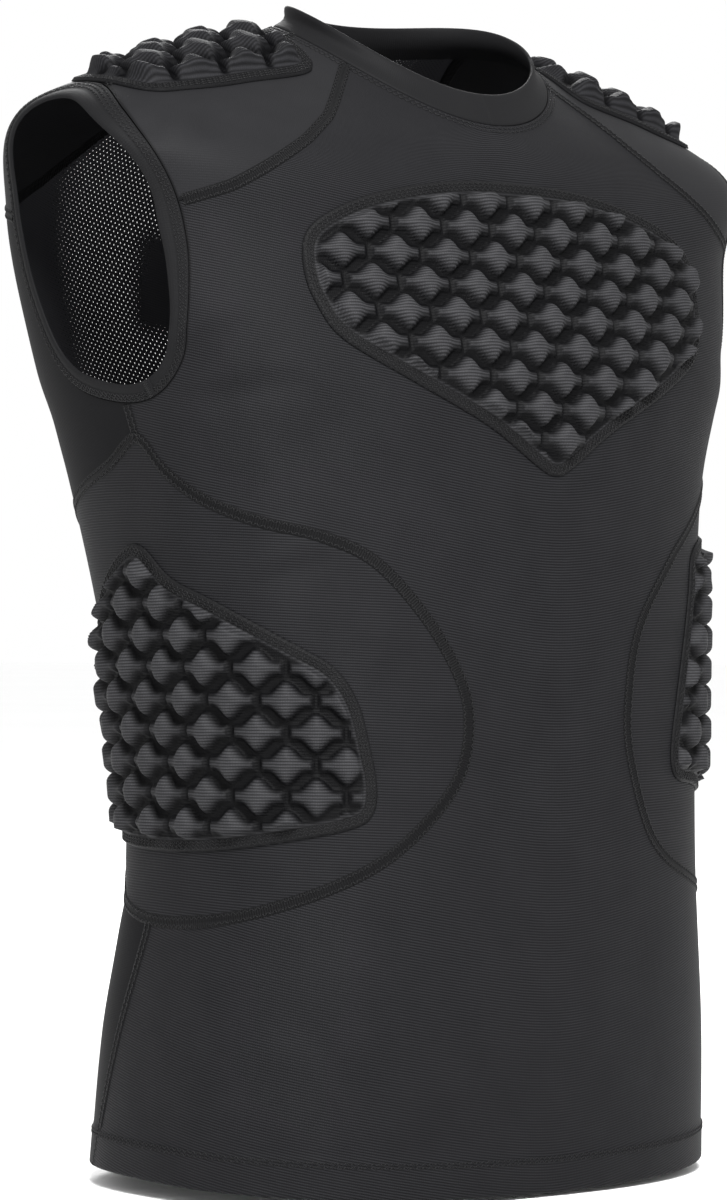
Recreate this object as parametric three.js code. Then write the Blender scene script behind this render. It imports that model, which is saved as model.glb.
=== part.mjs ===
// Padded compression shirt: sleeveless, tight, hollow, in the shape it has when worn.
// Millimetres. +X is the wearer's left, -Y the front, +Z up. The origin is on the centre line,
// level with the top of the shoulders, where the wearer carries the shirt.
import * as THREE from 'three';

// Driving sizes
const shoulderHeight = 566;      // hem to the top of the shoulder
const clothThickness = 1.5;
const foldedThickness = 2.4;     // collar and armhole binding are folded double
const foldedProud = 0.45;        // how far they stand out of the cloth round them
const hemProud = 0.6;            // the hem is turned up inside and out
const seamGap = 0.3;
const seamReach = 115;           // mm of cloth for each radian round the side

// Rings of the shirt from the hem to the top of the collar. halfWidth runs from the centre line to
// the side, middle is the y of the widest place, front and back are the depths from there, and
// sideZ, frontZ and backZ are heights above the hem. square is the exponent of the ring's
// superellipse, 2 being an ellipse.
const ringColumns = [
  'halfWidth', 'middle', 'front', 'back', 'sideZ', 'frontZ', 'backZ', 'squareFront', 'squareBack',
];
const rings = table(ringColumns, [
  [172,  0, 114, 116,   7,   0,   6, 2.4, 2.5],   // hem
  [168, -2, 115, 113,  75,  75,  75, 2.4, 2.5],   // hip
  [158, -2, 115, 101, 166, 166, 166, 2.5, 2.5],   // waist
  [162,  2, 116, 118, 265, 265, 265, 2.4, 2.6],   // ribs
  [176,  8, 117, 133, 355, 355, 355, 2.2, 2.7],   // chest
  [195, 14, 118, 139, 425, 408, 420, 2.3, 2.8],   // underarm
  [211, 20, 111, 134, 492, 452, 478, 2.1, 2.8],   // shoulder ball
  [218, 13,  94, 120, 535, 490, 530, 2.1, 2.6],   // shoulder tip
  [150,  6,  78,  92, 562, 516, 563, 2.1, 2.3],   // middle of the shoulder
  [ 78,  8,  67,  60, 583, 538, 588, 2.0, 2.0],   // collar seam
  [ 70,  8,  57,  54, 595, 555, 600, 2.0, 2.0],   // top of the collar
]);
const collarRing = 9;
const topRing = 10;

// The grid that every sewn piece is cut from: ring numbers, and equal steps round the body.
const ringSteps = [
  0, 0.24, 0.27, 0.7, 1.2, 1.7, 2.2, 2.7, 3.15, 3.6, 4, 4.35, 4.7, 5.05, 5.4, 5.75, 6.1, 6.4, 6.7,
  6.95, 7.15, 7.35, 7.6, 7.9, 8.2, 8.5, 8.75,
];
const hemRing = 0.25;
const aroundSteps = 44;

// The armhole is a leaning oval in side view. Its reach from the middle is a level value and, by the
// turn up from the back, a cosine and a sine for one wave a round, two waves and so on.
const armhole = {
  y: 14, z: 470, bindingWidth: 9, level: 70.6,
  waves: [[4.6, -0.8], [-9.7, 4.8], [0.6, 0.1], [-1.5, -1.3], [0.1, 0.5], [0.5, 0.2], [-0.2, -0.6]],
};
function armholeReach(turn) {
  return armhole.waves.reduce((reach, [cosine, sine], i) => (
    reach + cosine * Math.cos((i + 1) * turn) + sine * Math.sin((i + 1) * turn)
  ), armhole.level);
}

// Seams in front view: distance from the centre line and height above the hem.
const yokeSeamFront = table(['x', 'z'], [
  [74, 562], [86, 551], [103, 535], [121, 522], [145, 508], [166, 496], [194, 485],
]);
const yokeSeamBack = table(['x', 'z'], [
  [58, 603], [80, 575], [112, 541], [130, 525], [148, 511], [176, 496], [198, 487],
]);

// The side seam, in degrees round from the centre front, by height.
const sideSeam = table(['z', 'angle'], [
  [0, 115.5], [22, 113], [130, 98], [250, 92], [373, 86], [420, 87],
]);

// The side panels' edges: degrees round from the centre front, and height. The shirt sits a little
// askew, so the left panel's front and top run higher.
const sidePanelFront = {
  right: table(['angle', 'z'], [
    [86, 374], [79, 358], [70, 344], [58, 333], [46, 326], [36.5, 314], [28, 287], [22.3, 259],
    [20.5, 237], [22.5, 210], [30, 184], [40, 163], [54, 147.5], [70, 138],
  ]),
  left: table(['angle', 'z'], [
    [86, 379], [76, 374], [64, 364], [52, 351], [36.5, 327], [29.7, 312], [23, 292], [19.6, 274],
    [17.8, 250], [17.8, 222], [22.9, 184], [29.4, 166], [40, 155], [54, 147], [70, 138],
  ]),
};
const sidePanelBack = table(['angle', 'z'], [
  [92, 134], [112, 140], [127, 154], [141, 180], [150, 212], [153, 248], [150, 284], [141, 316],
  [128, 337], [112, 350], [98, 361],
]);

// Pads. Their edges are closed outlines, the chest's and the ribs' in mm round the body from the
// centre front and height, the shoulders' in plan and straightened. The bumps stand in rows in a
// brick bond: a bump has its centre at acrossStart and upStart, and pitchAcross and pitchUp lead to
// the next ones. stepsUp and innerStepsUp are the grid steps for each row outside and inside.
const chestPad = {
  edge: table(['u', 'v'], [
    [0, 507], [45, 505], [90, 496.5], [118, 486], [133, 474], [136, 455], [132, 438], [121, 422],
    [88, 404], [42, 382], [12, 363], [0, 358.5],
  ]),
  mirrored: true,
  acrossStart: 5, upStart: 376.9, pitchAcross: 30.3, pitchUp: 14.9, bumpHeight: 5.8,
  stepsUp: 3, innerStepsUp: 1,
};
const ribBumps = {
  mirrored: false,
  acrossStart: 136.9, upStart: 198.4, pitchAcross: 28.4, pitchUp: 15.7, bumpHeight: 5.8,
  stepsUp: 3, innerStepsUp: 1,
};
const ribPads = {
  right: {
    edge: table(['u', 'v'], [
      [238, 321], [216, 305], [188, 293.5], [145, 272], [127, 261], [116.5, 245], [111, 224], [107.5, 203],
      [110, 190], [120, 183.5], [147, 177.5], [185, 171.5], [225, 169], [273, 170.5], [303, 175], [318, 188],
      [321, 215], [317, 245], [304, 272], [282, 297], [258, 316],
    ]),
    ...ribBumps,
  },
  left: {
    edge: table(['u', 'v'], [
      [232, 330], [190, 333], [152, 330], [127, 321], [116, 294], [104.5, 266], [97, 246], [90, 224],
      [90, 211], [98, 204.5], [119, 202], [150, 197], [185, 190], [225, 184], [273, 181], [303, 184],
      [318, 196], [321, 220], [317, 247], [304, 275], [282, 301], [258, 321],
    ]),
    ...ribBumps,
  },
};
const shoulderPad = {
  edge: table(['u', 'v'], [
    [86, -12], [90, -22], [99, -26.5], [128, -27.5], [147, -28.5], [166, -29], [181, -29], [190, -23],
    [194, -9], [194, 9], [190, 27], [181, 39], [162, 48], [130, 52], [103, 48], [90, 38], [84, 20],
  ]),
  mirrored: false,
  acrossStart: 102.5, upStart: -19, pitchAcross: 26.4, pitchUp: 19, bumpHeight: 8.4,
  stepsUp: 4, innerStepsUp: 2,
};
const shoulderBend = { from: 100, rate: 0.0022 };   // the rows curve back towards the arm
const bump = {
  widthShare: 0.447, heightShare: 0.644,   // half sizes of the diamond as shares of the pitches
  roundness: 1.4, tabHeight: 3.4, tabLevel: 0.42, tabSoftness: 2,
};
const pad = { lift: 1.1, base: 1.5, margin: 6.5, edgeSlope: 3.5, stepsAcross: 2 };

// Colours
const colours = { knit: 0x38393b, smooth: 0x303133, mesh: 0x222325, trim: 0x2c2d2f, pad: 0x3c3d3f };

function table(columns, rows) {
  return rows.map((row) => Object.fromEntries(row.map((value, i) => [columns[i], value])));
}

const degrees = Math.PI / 180;
const halvings = 18;             // of a grid edge, to find where a seam crosses it

function smoothstep(low, high, value) {
  const f = THREE.MathUtils.clamp((value - low) / (high - low), 0, 1);
  return f * f * (3 - 2 * f);
}

function catmullRom(p0, p1, p2, p3, f) {
  return p1 + 0.5 * f * (p2 - p0 + f * (2 * p0 - 5 * p1 + 4 * p2 - p3 + f * (3 * (p1 - p2) + p3 - p0)));
}

// A table's row between its own rows, on a smooth curve through them.
function rowBetween(rows, at) {
  const last = rows.length - 1;
  const i = Math.min(Math.floor(at), last - 1);
  const row = {};
  for (const key of Object.keys(rows[0])) {
    const p1 = rows[i][key];
    const p2 = rows[i + 1][key];
    const p0 = i > 0 ? rows[i - 1][key] : 2 * p1 - p2;
    const p3 = i + 2 <= last ? rows[i + 2][key] : 2 * p2 - p1;
    row[key] = catmullRom(p0, p1, p2, p3, at - i);
  }
  return row;
}

// The outer face of the cloth: angle round from the centre front, positive to the wearer's left,
// and ring number from the hem. The z is above the hem.
function bodyPoint(angle, ring) {
  const r = rowBetween(rings, ring);
  const s = Math.sin(angle);
  const c = Math.cos(angle);
  const square = THREE.MathUtils.lerp(r.squareBack, r.squareFront, smoothstep(0, 1, (1 + c) / 2));
  const reach = (Math.abs(s) ** square + Math.abs(c) ** square) ** (-1 / square);
  const level = (r.frontZ + r.backZ + 2 * r.sideZ) / 4;
  const tilt = (r.frontZ - r.backZ) / 2;
  const saddle = (r.frontZ + r.backZ - 2 * r.sideZ) / 4;
  return new THREE.Vector3(
    r.halfWidth * s * reach,
    r.middle - (c > 0 ? r.front : r.back) * c * reach,
    level + tilt * c + saddle * Math.cos(2 * angle),
  );
}

function bodyNormal(angle, ring) {
  const step = 0.004;            // radians, and rings
  const low = Math.max(ring - step, 0);
  const high = Math.min(ring + step, topRing);
  const along = bodyPoint(angle + step, ring).sub(bodyPoint(angle - step, ring));
  const up = bodyPoint(angle, high).sub(bodyPoint(angle, low));
  return along.cross(up).normalize();
}

// A point of cloth moved out of the body surface, in the part's own frame.
function clothPoint(place, out) {
  const point = bodyPoint(place.angle, place.ring);
  point.addScaledVector(bodyNormal(place.angle, place.ring), out);
  point.z -= shoulderHeight;
  return point;
}

// One column of a table at a value of another, by straight steps, and its slope there.
function readTable(rows, from, to, value) {
  let i = 0;
  while (i < rows.length - 2 && value > rows[i + 1][from]) i += 1;
  const slope = (rows[i + 1][to] - rows[i][to]) / (rows[i + 1][from] - rows[i][from]);
  return { value: rows[i][to] + slope * (value - rows[i][from]), slope };
}

// A smooth closed outline as short straight sides.
function closedOutline(rows, mirrored) {
  const corners = rows.map(({ u, v }) => new THREE.Vector2(u, v));
  if (mirrored) {
    for (const corner of corners.slice(1, -1).reverse()) corners.push(new THREE.Vector2(-corner.x, corner.y));
  }
  const sidesPerStretch = 5;
  const points = [];
  corners.forEach((p1, i) => {
    const n = corners.length;
    const [p0, p2, p3] = [corners[(i + n - 1) % n], corners[(i + 1) % n], corners[(i + 2) % n]];
    for (let k = 0; k < sidesPerStretch; k += 1) {
      const f = k / sidesPerStretch;
      const x = catmullRom(p0.x, p1.x, p2.x, p3.x, f);
      const y = catmullRom(p0.y, p1.y, p2.y, p3.y, f);
      points.push(new THREE.Vector2(x, y));
    }
  });
  return points;
}

// Distance to a closed outline, positive inside it.
function insideBy(outline, x, y) {
  let nearest = Infinity;
  let inside = false;
  outline.forEach((a, i) => {
    const b = outline[(i + 1) % outline.length];
    const along = new THREE.Vector2(b.x - a.x, b.y - a.y);
    const f = THREE.MathUtils.clamp(((x - a.x) * along.x + (y - a.y) * along.y) / along.lengthSq(), 0, 1);
    nearest = Math.min(nearest, Math.hypot(x - a.x - f * along.x, y - a.y - f * along.y));
    if ((a.y > y) !== (b.y > y) && x < a.x + ((y - a.y) / along.y) * along.x) inside = !inside;
  });
  return inside ? nearest : -nearest;
}

function sidePanelOutline(frontEdge) {
  const rows = [...frontEdge, ...sidePanelBack];
  return closedOutline(rows.map(({ angle, z }) => ({ u: angle * degrees * seamReach, v: z })), false);
}
const sidePanelOutlines = {
  right: sidePanelOutline(sidePanelFront.right),
  left: sidePanelOutline(sidePanelFront.left),
};

// Distances to the seams in mm. Each is positive on the side that its name gives.
const seams = {
  outsideArmhole({ point }) {
    const dy = point.y - armhole.y;
    const dz = point.z - armhole.z;
    return Math.hypot(dy, dz) - armholeReach(Math.atan2(dz, dy));
  },
  aboveYokeSeam({ point, angle }) {
    const rows = Math.cos(angle) > -1e-9 ? yokeSeamFront : yokeSeamBack;
    const seam = readTable(rows, 'x', 'z', Math.abs(point.x));
    return (point.z - seam.value) / Math.hypot(1, seam.slope);
  },
  inFrontOfSideSeam({ point, angle }) {
    const seam = readTable(sideSeam, 'z', 'angle', point.z);
    return (seam.value * degrees - Math.abs(angle)) * seamReach;
  },
  insideSidePanel({ point, angle }) {
    const outline = sidePanelOutlines[angle < 0 ? 'right' : 'left'];
    return insideBy(outline, Math.abs(angle) * seamReach, point.z);
  },
};

// Cuts a triangulated piece along a line where distance is zero and keeps what lies above it.
// vertexAt makes the vertex that lies a share of the way between two others.
function cut(piece, distance, vertexAt) {
  const snap = 0.05;
  const values = piece.vertices.map((vertex) => {
    const value = distance(vertex);
    return Math.abs(value) < snap ? 0 : value;
  });
  const vertices = [...piece.vertices];
  const crossings = new Map();
  const crossing = (a, b) => {
    const key = a < b ? `${a},${b}` : `${b},${a}`;
    if (!crossings.has(key)) {
      const [from, to] = a < b ? [a, b] : [b, a];
      let low = 0;
      let high = 1;
      for (let i = 0; i < halvings; i += 1) {
        const middle = (low + high) / 2;
        const value = distance(vertexAt(piece.vertices[from], piece.vertices[to], middle));
        if (Math.sign(value) === Math.sign(values[from])) low = middle;
        else high = middle;
      }
      const vertex = vertexAt(piece.vertices[from], piece.vertices[to], (low + high) / 2);
      crossings.set(key, vertices.push(vertex) - 1);
    }
    return crossings.get(key);
  };
  const triangles = [];
  for (const corners of piece.triangles) {
    const kept = [];
    corners.forEach((a, i) => {
      const b = corners[(i + 1) % 3];
      if (values[a] >= 0) kept.push(a);
      if (values[a] * values[b] < 0) kept.push(crossing(a, b));
    });
    const zeros = kept.filter((k) => k < values.length && values[k] === 0).length;
    if (kept.length < 3 || (kept.length === 3 && zeros === 3 && corners.some((k) => values[k] < 0))) continue;
    for (let i = 1; i + 1 < kept.length; i += 1) triangles.push([kept[0], kept[i], kept[i + 1]]);
  }
  return dropUnused({ vertices, triangles });
}

function dropUnused({ vertices, triangles }) {
  const places = new Map();
  const used = [];
  const place = (k) => {
    if (!places.has(k)) places.set(k, used.push(vertices[k]) - 1);
    return places.get(k);
  };
  return { triangles: triangles.map((corners) => corners.map(place)), vertices: used };
}

// Grid of rows and columns as triangles, facing out. Columns close into a ring if closed is set.
function gridTriangles(columns, rows, closed) {
  const triangles = [];
  const wide = closed ? columns : columns - 1;
  for (let j = 0; j + 1 < rows; j += 1) {
    for (let i = 0; i < wide; i += 1) {
      const [a, b] = [j * columns + i, j * columns + ((i + 1) % columns)];
      const [c, d] = [b + columns, a + columns];
      triangles.push([a, b, c], [a, c, d]);
    }
  }
  return triangles;
}

// The body surface between two rings. from and to give the side of the body in whole steps.
function bodyGrid(ringNumbers, from, to) {
  const closed = to - from === aroundSteps;
  const columns = closed ? aroundSteps : to - from + 1;
  const vertices = [];
  for (const ring of ringNumbers) {
    for (let i = 0; i < columns; i += 1) {
      vertices.push(bodyVertex(((from + i) / aroundSteps) * 2 * Math.PI, ring));
    }
  }
  return { vertices, triangles: gridTriangles(columns, ringNumbers.length, closed) };
}

function bodyVertex(turn, ring) {
  const angle = turn > Math.PI + 1e-9 ? turn - 2 * Math.PI : turn;
  return { turn, angle, ring, point: bodyPoint(angle, ring) };
}

function bodyVertexBetween(a, b, share) {
  const turns = b.turn - a.turn;
  const shortest = turns > Math.PI ? turns - 2 * Math.PI : turns < -Math.PI ? turns + 2 * Math.PI : turns;
  return bodyVertex(a.turn + share * shortest, THREE.MathUtils.lerp(a.ring, b.ring, share));
}

function boundaryEdges(triangles) {
  const edges = new Map();
  for (const [a, b, c] of triangles) {
    for (const [p, q] of [[a, b], [b, c], [c, a]]) {
      if (edges.has(`${q},${p}`)) edges.delete(`${q},${p}`);
      else edges.set(`${p},${q}`, [p, q]);
    }
  }
  return [...edges.values()];
}

function meshFrom(name, points, triangles, colour) {
  const geometry = new THREE.BufferGeometry();
  const positions = points.flatMap((p) => [p.x, p.y, p.z]);
  geometry.setAttribute('position', new THREE.Float32BufferAttribute(positions, 3));
  geometry.setIndex(triangles.flat());
  geometry.computeVertexNormals();
  const material = new THREE.MeshStandardMaterial({ color: colour, roughness: 0.85, metalness: 0 });
  const mesh = new THREE.Mesh(geometry, material);
  mesh.name = name;
  return mesh;
}

// A wall of cloth: an outer and an inner face joined round every edge.
function clothWall(name, piece, outer, inner, colour) {
  const count = piece.vertices.length;
  const points = [
    ...piece.vertices.map((vertex) => clothPoint(vertex, outer(vertex))),
    ...piece.vertices.map((vertex) => clothPoint(vertex, inner(vertex))),
  ];
  const triangles = [...piece.triangles];
  for (const [a, b, c] of piece.triangles) triangles.push([a + count, c + count, b + count]);
  for (const [a, b] of boundaryEdges(piece.triangles)) {
    triangles.push([b, a, a + count], [b, a + count, b + count]);
  }
  return meshFrom(name, points, triangles, colour);
}

function cutPanel(grid, lines) {
  return lines.reduce((piece, line) => cut(piece, (v) => line(v) - seamGap / 2, bodyVertexBetween), grid);
}

function panels() {
  const seamShare = { below: 0.0035, above: 0.0075 };   // half the seam gap as a share of a ring
  const bodyRings = [...ringSteps, collarRing - seamShare.below];
  const collarRings = [collarRing + seamShare.above, (collarRing + topRing) / 2, topRing];
  const half = aroundSteps / 2;
  const whole = bodyGrid(bodyRings, 0, aroundSteps);
  const belowYokeSeam = (v) => -seams.aboveYokeSeam(v);
  const outsideSidePanel = (v) => -seams.insideSidePanel(v);
  const behindSideSeam = (v) => -seams.inFrontOfSideSeam(v);
  const body = [seams.outsideArmhole, belowYokeSeam, outsideSidePanel];
  const plain = () => 0;
  const hemmed = ({ ring }) => (ring < hemRing ? hemProud : 0);
  const plainInner = () => -clothThickness;
  const foldedOuter = () => foldedProud;
  const foldedInner = () => foldedProud - foldedThickness;

  const front = cutPanel(whole, [...body, seams.inFrontOfSideSeam]);
  const back = cutPanel(whole, [...body, behindSideSeam]);
  const made = [
    clothWall('front_panel', front, hemmed, plainInner, colours.knit),
    clothWall('back_panel', back, hemmed, plainInner, colours.mesh),
    clothWall('collar', bodyGrid(collarRings, 0, aroundSteps), foldedOuter, foldedInner, colours.trim),
  ];
  const insideArmhole = (v) => -seams.outsideArmhole(v);
  const aroundOpening = (v) => seams.outsideArmhole(v) + armhole.bindingWidth + seamGap / 2;
  for (const [side, from, to] of [['right', half, aroundSteps], ['left', 0, half]]) {
    const grid = bodyGrid(bodyRings, from, to);
    const yoke = cutPanel(grid, [seams.aboveYokeSeam, seams.outsideArmhole]);
    const binding = cutPanel(grid, [insideArmhole, aroundOpening]);
    const insert = cutPanel(grid, [seams.insideSidePanel]);
    made.push(
      clothWall(`yoke_${side}`, yoke, plain, plainInner, colours.smooth),
      clothWall(`armhole_binding_${side}`, binding, foldedOuter, foldedInner, colours.trim),
      clothWall(`side_panel_${side}`, insert, plain, plainInner, colours.knit),
    );
  }
  return made;
}

// Ring number at which the body has a height, on a line up it at one angle.
const highestLevelRing = 8.6;
function ringAtHeight(angle, z) {
  let low = 0;
  let high = highestLevelRing;
  for (let i = 0; i < 2 * halvings; i += 1) {
    const middle = (low + high) / 2;
    if (bodyPoint(angle, middle).z < z) low = middle;
    else high = middle;
  }
  return (low + high) / 2;
}

// Level section at a height: mm round the body from the centre front, by angle.
const sections = new Map();
const sectionStep = 2.5 * degrees;
function sectionAt(z) {
  if (!sections.has(z)) {
    const stops = [{ angle: 0, run: 0 }];
    let last = bodyPoint(0, ringAtHeight(0, z));
    while (stops.at(-1).angle < Math.PI - sectionStep) {
      const angle = stops.at(-1).angle + sectionStep;
      const point = bodyPoint(angle, ringAtHeight(angle, z));
      stops.push({ angle, run: stops.at(-1).run + point.distanceTo(last) });
      last = point;
    }
    sections.set(z, stops);
  }
  return sections.get(z);
}

function placeRoundBody(run, z) {
  const angle = readTable(sectionAt(z), 'run', 'angle', Math.abs(run)).value * Math.sign(run);
  return { angle, ring: ringAtHeight(angle, z) };
}

// Place on top of the shoulder under a point in plan, by Newton's method.
const shoulderTop = { firstRing: 7.8, lowestRing: 6.9, highestRing: 8.95, angleStep: 0.2, ringStep: 0.3 };
function placeInPlan(x, straightY) {
  const { clamp } = THREE.MathUtils;
  const y = straightY + shoulderBend.rate * Math.max(Math.abs(x) - shoulderBend.from, 0) ** 2;
  const small = 1e-4;
  const rounds = 30;
  let angle = Math.sign(x) * Math.PI / 2;
  let ring = shoulderTop.firstRing;
  for (let i = 0; i < rounds; i += 1) {
    const here = bodyPoint(angle, ring);
    const byAngle = bodyPoint(angle + small, ring).sub(here).divideScalar(small);
    const byRing = bodyPoint(angle, ring + small).sub(here).divideScalar(small);
    const det = byAngle.x * byRing.y - byRing.x * byAngle.y;
    const [dx, dy] = [x - here.x, y - here.y];
    const turn = (dx * byRing.y - byRing.x * dy) / det;
    const climb = (byAngle.x * dy - dx * byAngle.y) / det;
    angle += clamp(turn, -shoulderTop.angleStep, shoulderTop.angleStep);
    ring += clamp(climb, -shoulderTop.ringStep, shoulderTop.ringStep);
    ring = clamp(ring, shoulderTop.lowestRing, shoulderTop.highestRing);
  }
  return { angle, ring };
}

// Share of the full bump height at a point of the bump pattern: rounded diamonds in a brick bond,
// each with a short low tab to either side.
function bumpShare({ pitchAcross, pitchUp }, across, up) {
  let share = 0;
  const row = Math.round(up / pitchUp);
  for (const r of [row - 1, row, row + 1]) {
    const shift = r % 2 === 0 ? 0 : pitchAcross / 2;
    const du = across - shift - Math.round((across - shift) / pitchAcross) * pitchAcross;
    const dv = up - r * pitchUp;
    const out = (Math.abs(du) / (bump.widthShare * pitchAcross)) ** bump.roundness
      + (Math.abs(dv) / (bump.heightShare * pitchUp)) ** bump.roundness;
    const tab = smoothstep(bump.tabHeight + bump.tabSoftness, bump.tabHeight, Math.abs(dv))
      * smoothstep(pitchAcross / 2, pitchAcross / 2 - bump.tabSoftness, Math.abs(du))
      * bump.tabLevel;
    share = Math.max(share, Math.sqrt(Math.max(0, 1 - out)), tab);
  }
  return share;
}

// Flat grid over a pad's outline in steps of the bump pattern, cut to the outline.
function padGrid(form, outline, stepsAcross, stepsUp) {
  const stepU = form.pitchAcross / 2 / stepsAcross;
  const stepV = form.pitchUp / stepsUp;
  const box = new THREE.Box2().setFromPoints(outline);
  const range = (start, step, low, high) => {
    const first = Math.floor((low - start) / step);
    const count = Math.ceil((high - start) / step) - first + 1;
    return Array.from({ length: count }, (_, i) => start + (first + i) * step);
  };
  const us = range(form.acrossStart, stepU, box.min.x, box.max.x);
  const vs = range(form.upStart, stepV, box.min.y, box.max.y);
  const vertices = vs.flatMap((v) => us.map((u) => ({ u, v })));
  const between = (a, b, share) => ({
    u: THREE.MathUtils.lerp(a.u, b.u, share), v: THREE.MathUtils.lerp(a.v, b.v, share),
  });
  const grid = { vertices, triangles: gridTriangles(us.length, vs.length, false) };
  return cut(grid, ({ u, v }) => insideBy(outline, u, v), between);
}

function boundaryLoop(triangles) {
  const next = new Map(boundaryEdges(triangles));
  const start = next.keys().next().value;
  const loop = [start];
  while (next.get(loop.at(-1)) !== start) loop.push(next.get(loop.at(-1)));
  return loop;
}

// Joins two loops that run the same way round, one fine and one coarse, with a band of triangles.
function joinLoops(outer, inner, points) {
  const nearest = inner.reduce((best, k) => (
    points[k].distanceTo(points[outer[0]]) < points[best].distanceTo(points[outer[0]]) ? k : best));
  const turned = [...inner.slice(inner.indexOf(nearest)), ...inner.slice(0, inner.indexOf(nearest))];
  const triangles = [];
  let [i, j] = [0, 0];
  const at = (loop, k) => loop[k % loop.length];
  while (i < outer.length || j < turned.length) {
    const outerStep = points[at(outer, i + 1)].distanceTo(points[at(turned, j)]);
    const innerStep = points[at(turned, j + 1)].distanceTo(points[at(outer, i)]);
    if (j >= turned.length || (i < outer.length && outerStep <= innerStep)) {
      triangles.push([at(outer, i + 1), at(outer, i), at(turned, j)]);
      i += 1;
    } else {
      triangles.push([at(outer, i), at(turned, j), at(turned, j + 1)]);
      j += 1;
    }
  }
  return triangles;
}

// A pad: a raised outer face with its bumps over a plain, coarser inner face.
// side is 1 or -1: the left piece as it is, or the right one as its mirror image.
function padSolid(name, form, placeOn, side) {
  const outline = closedOutline(form.edge, form.mirrored);
  const outerFace = padGrid(form, outline, pad.stepsAcross, form.stepsUp);
  const innerFace = padGrid(form, outline, 1, form.innerStepsUp);
  const height = ({ u, v }) => {
    const edgeShare = smoothstep(pad.margin, pad.margin + pad.edgeSlope, insideBy(outline, u, v));
    const share = bumpShare(form, u - form.acrossStart, v - form.upStart);
    return pad.base + form.bumpHeight * edgeShare * share;
  };
  const points = [
    ...outerFace.vertices.map((w) => clothPoint(placeOn(side * w.u, w.v), pad.lift + height(w))),
    ...innerFace.vertices.map((w) => clothPoint(placeOn(side * w.u, w.v), pad.lift)),
  ];
  const count = outerFace.vertices.length;
  const innerTriangles = innerFace.triangles.map((corners) => corners.map((k) => k + count));
  const rim = joinLoops(boundaryLoop(outerFace.triangles), boundaryLoop(innerTriangles), points);
  const triangles = [...outerFace.triangles, ...innerTriangles.map(([a, b, c]) => [a, c, b]), ...rim];
  const facing = side > 0 ? triangles : triangles.map(([a, b, c]) => [a, c, b]);
  return meshFrom(name, points, facing, colours.pad);
}

const shirt = new THREE.Group();
shirt.add(...panels());
shirt.add(padSolid('chest_pad', chestPad, placeRoundBody, 1));
for (const [side, sign] of [['right', -1], ['left', 1]]) {
  shirt.add(padSolid(`rib_pad_${side}`, ribPads[side], placeRoundBody, sign));
  shirt.add(padSolid(`shoulder_pad_${side}`, shoulderPad, placeInPlan, sign));
}

export default shirt;
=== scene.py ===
import math

import bpy
import numpy as np
from mathutils import Matrix, Vector


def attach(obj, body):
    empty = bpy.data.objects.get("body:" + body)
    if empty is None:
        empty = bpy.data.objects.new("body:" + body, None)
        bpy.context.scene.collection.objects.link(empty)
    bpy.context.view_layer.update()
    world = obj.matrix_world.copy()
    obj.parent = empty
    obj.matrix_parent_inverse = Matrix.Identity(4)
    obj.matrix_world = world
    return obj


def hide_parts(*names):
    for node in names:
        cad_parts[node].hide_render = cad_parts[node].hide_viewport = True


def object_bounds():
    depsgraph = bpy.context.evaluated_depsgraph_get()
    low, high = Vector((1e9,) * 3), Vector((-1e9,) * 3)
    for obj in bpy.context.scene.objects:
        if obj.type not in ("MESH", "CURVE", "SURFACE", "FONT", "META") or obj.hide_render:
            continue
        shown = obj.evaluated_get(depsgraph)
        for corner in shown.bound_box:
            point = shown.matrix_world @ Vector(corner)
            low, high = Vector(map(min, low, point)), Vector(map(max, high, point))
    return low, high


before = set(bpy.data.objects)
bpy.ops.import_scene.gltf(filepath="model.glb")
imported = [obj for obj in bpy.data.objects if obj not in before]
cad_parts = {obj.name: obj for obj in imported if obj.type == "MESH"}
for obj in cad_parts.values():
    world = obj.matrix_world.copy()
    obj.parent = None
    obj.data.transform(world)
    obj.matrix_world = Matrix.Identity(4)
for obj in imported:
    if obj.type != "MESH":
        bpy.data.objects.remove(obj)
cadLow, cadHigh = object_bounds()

print("frame loaded:", len(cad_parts), "nodes")

# Sizes are in millimetres. Heights in the tables are above the hem, and the frame's origin is at
# the top of the shoulder. Angles go round from the centre front, positive to the wearer's left.
shirt = {
    "shoulderHeight": 566,
    "cloth": 1.0,               # single cloth
    "meshCloth": 0.4,           # the perforated back is thinner
    "seamGap": 0.3,
    "seamReach": 115,           # mm of cloth for each radian round the side
    "columns": 264,             # grid steps round the body
    "ringStep": 0.04,
    "collarRing": 9,
    "topRing": 10,
}

# halfWidth, middle, front, back, sideZ, frontZ, backZ, squareFront, squareBack
rings = np.array([
    [172, 0, 114, 116, 7, 0, 6, 2.4, 2.5],          # hem
    [168, -2, 115, 113, 75, 75, 75, 2.4, 2.5],      # hip
    [158, -2, 115, 101, 166, 166, 166, 2.5, 2.5],   # waist
    [162, 2, 116, 118, 265, 265, 265, 2.4, 2.6],    # ribs
    [176, 8, 117, 133, 355, 355, 355, 2.2, 2.7],    # chest
    [195, 14, 118, 139, 425, 408, 420, 2.3, 2.8],   # underarm
    [211, 20, 111, 134, 492, 452, 478, 2.1, 2.8],   # shoulder ball
    [218, 13, 94, 120, 535, 490, 530, 2.1, 2.6],    # shoulder tip
    [150, 6, 78, 92, 562, 516, 563, 2.1, 2.3],      # middle of the shoulder
    [78, 8, 67, 60, 583, 538, 588, 2.0, 2.0],       # collar seam
    [70, 8, 57, 54, 595, 555, 600, 2.0, 2.0],       # top of the collar
])

# The armhole in side view: its middle, and the reach of its edge from there. The reach is a level
# value and, by the turn up from the back, a cosine and a sine for one wave a round, two and so on.
armhole = {
    "y": 14, "z": 470, "level": 70.6,
    "waves": [(4.6, -0.8), (-9.7, 4.8), (0.6, 0.1), (-1.5, -1.3), (0.1, 0.5), (0.5, 0.2), (-0.2, -0.6)],
}

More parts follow.
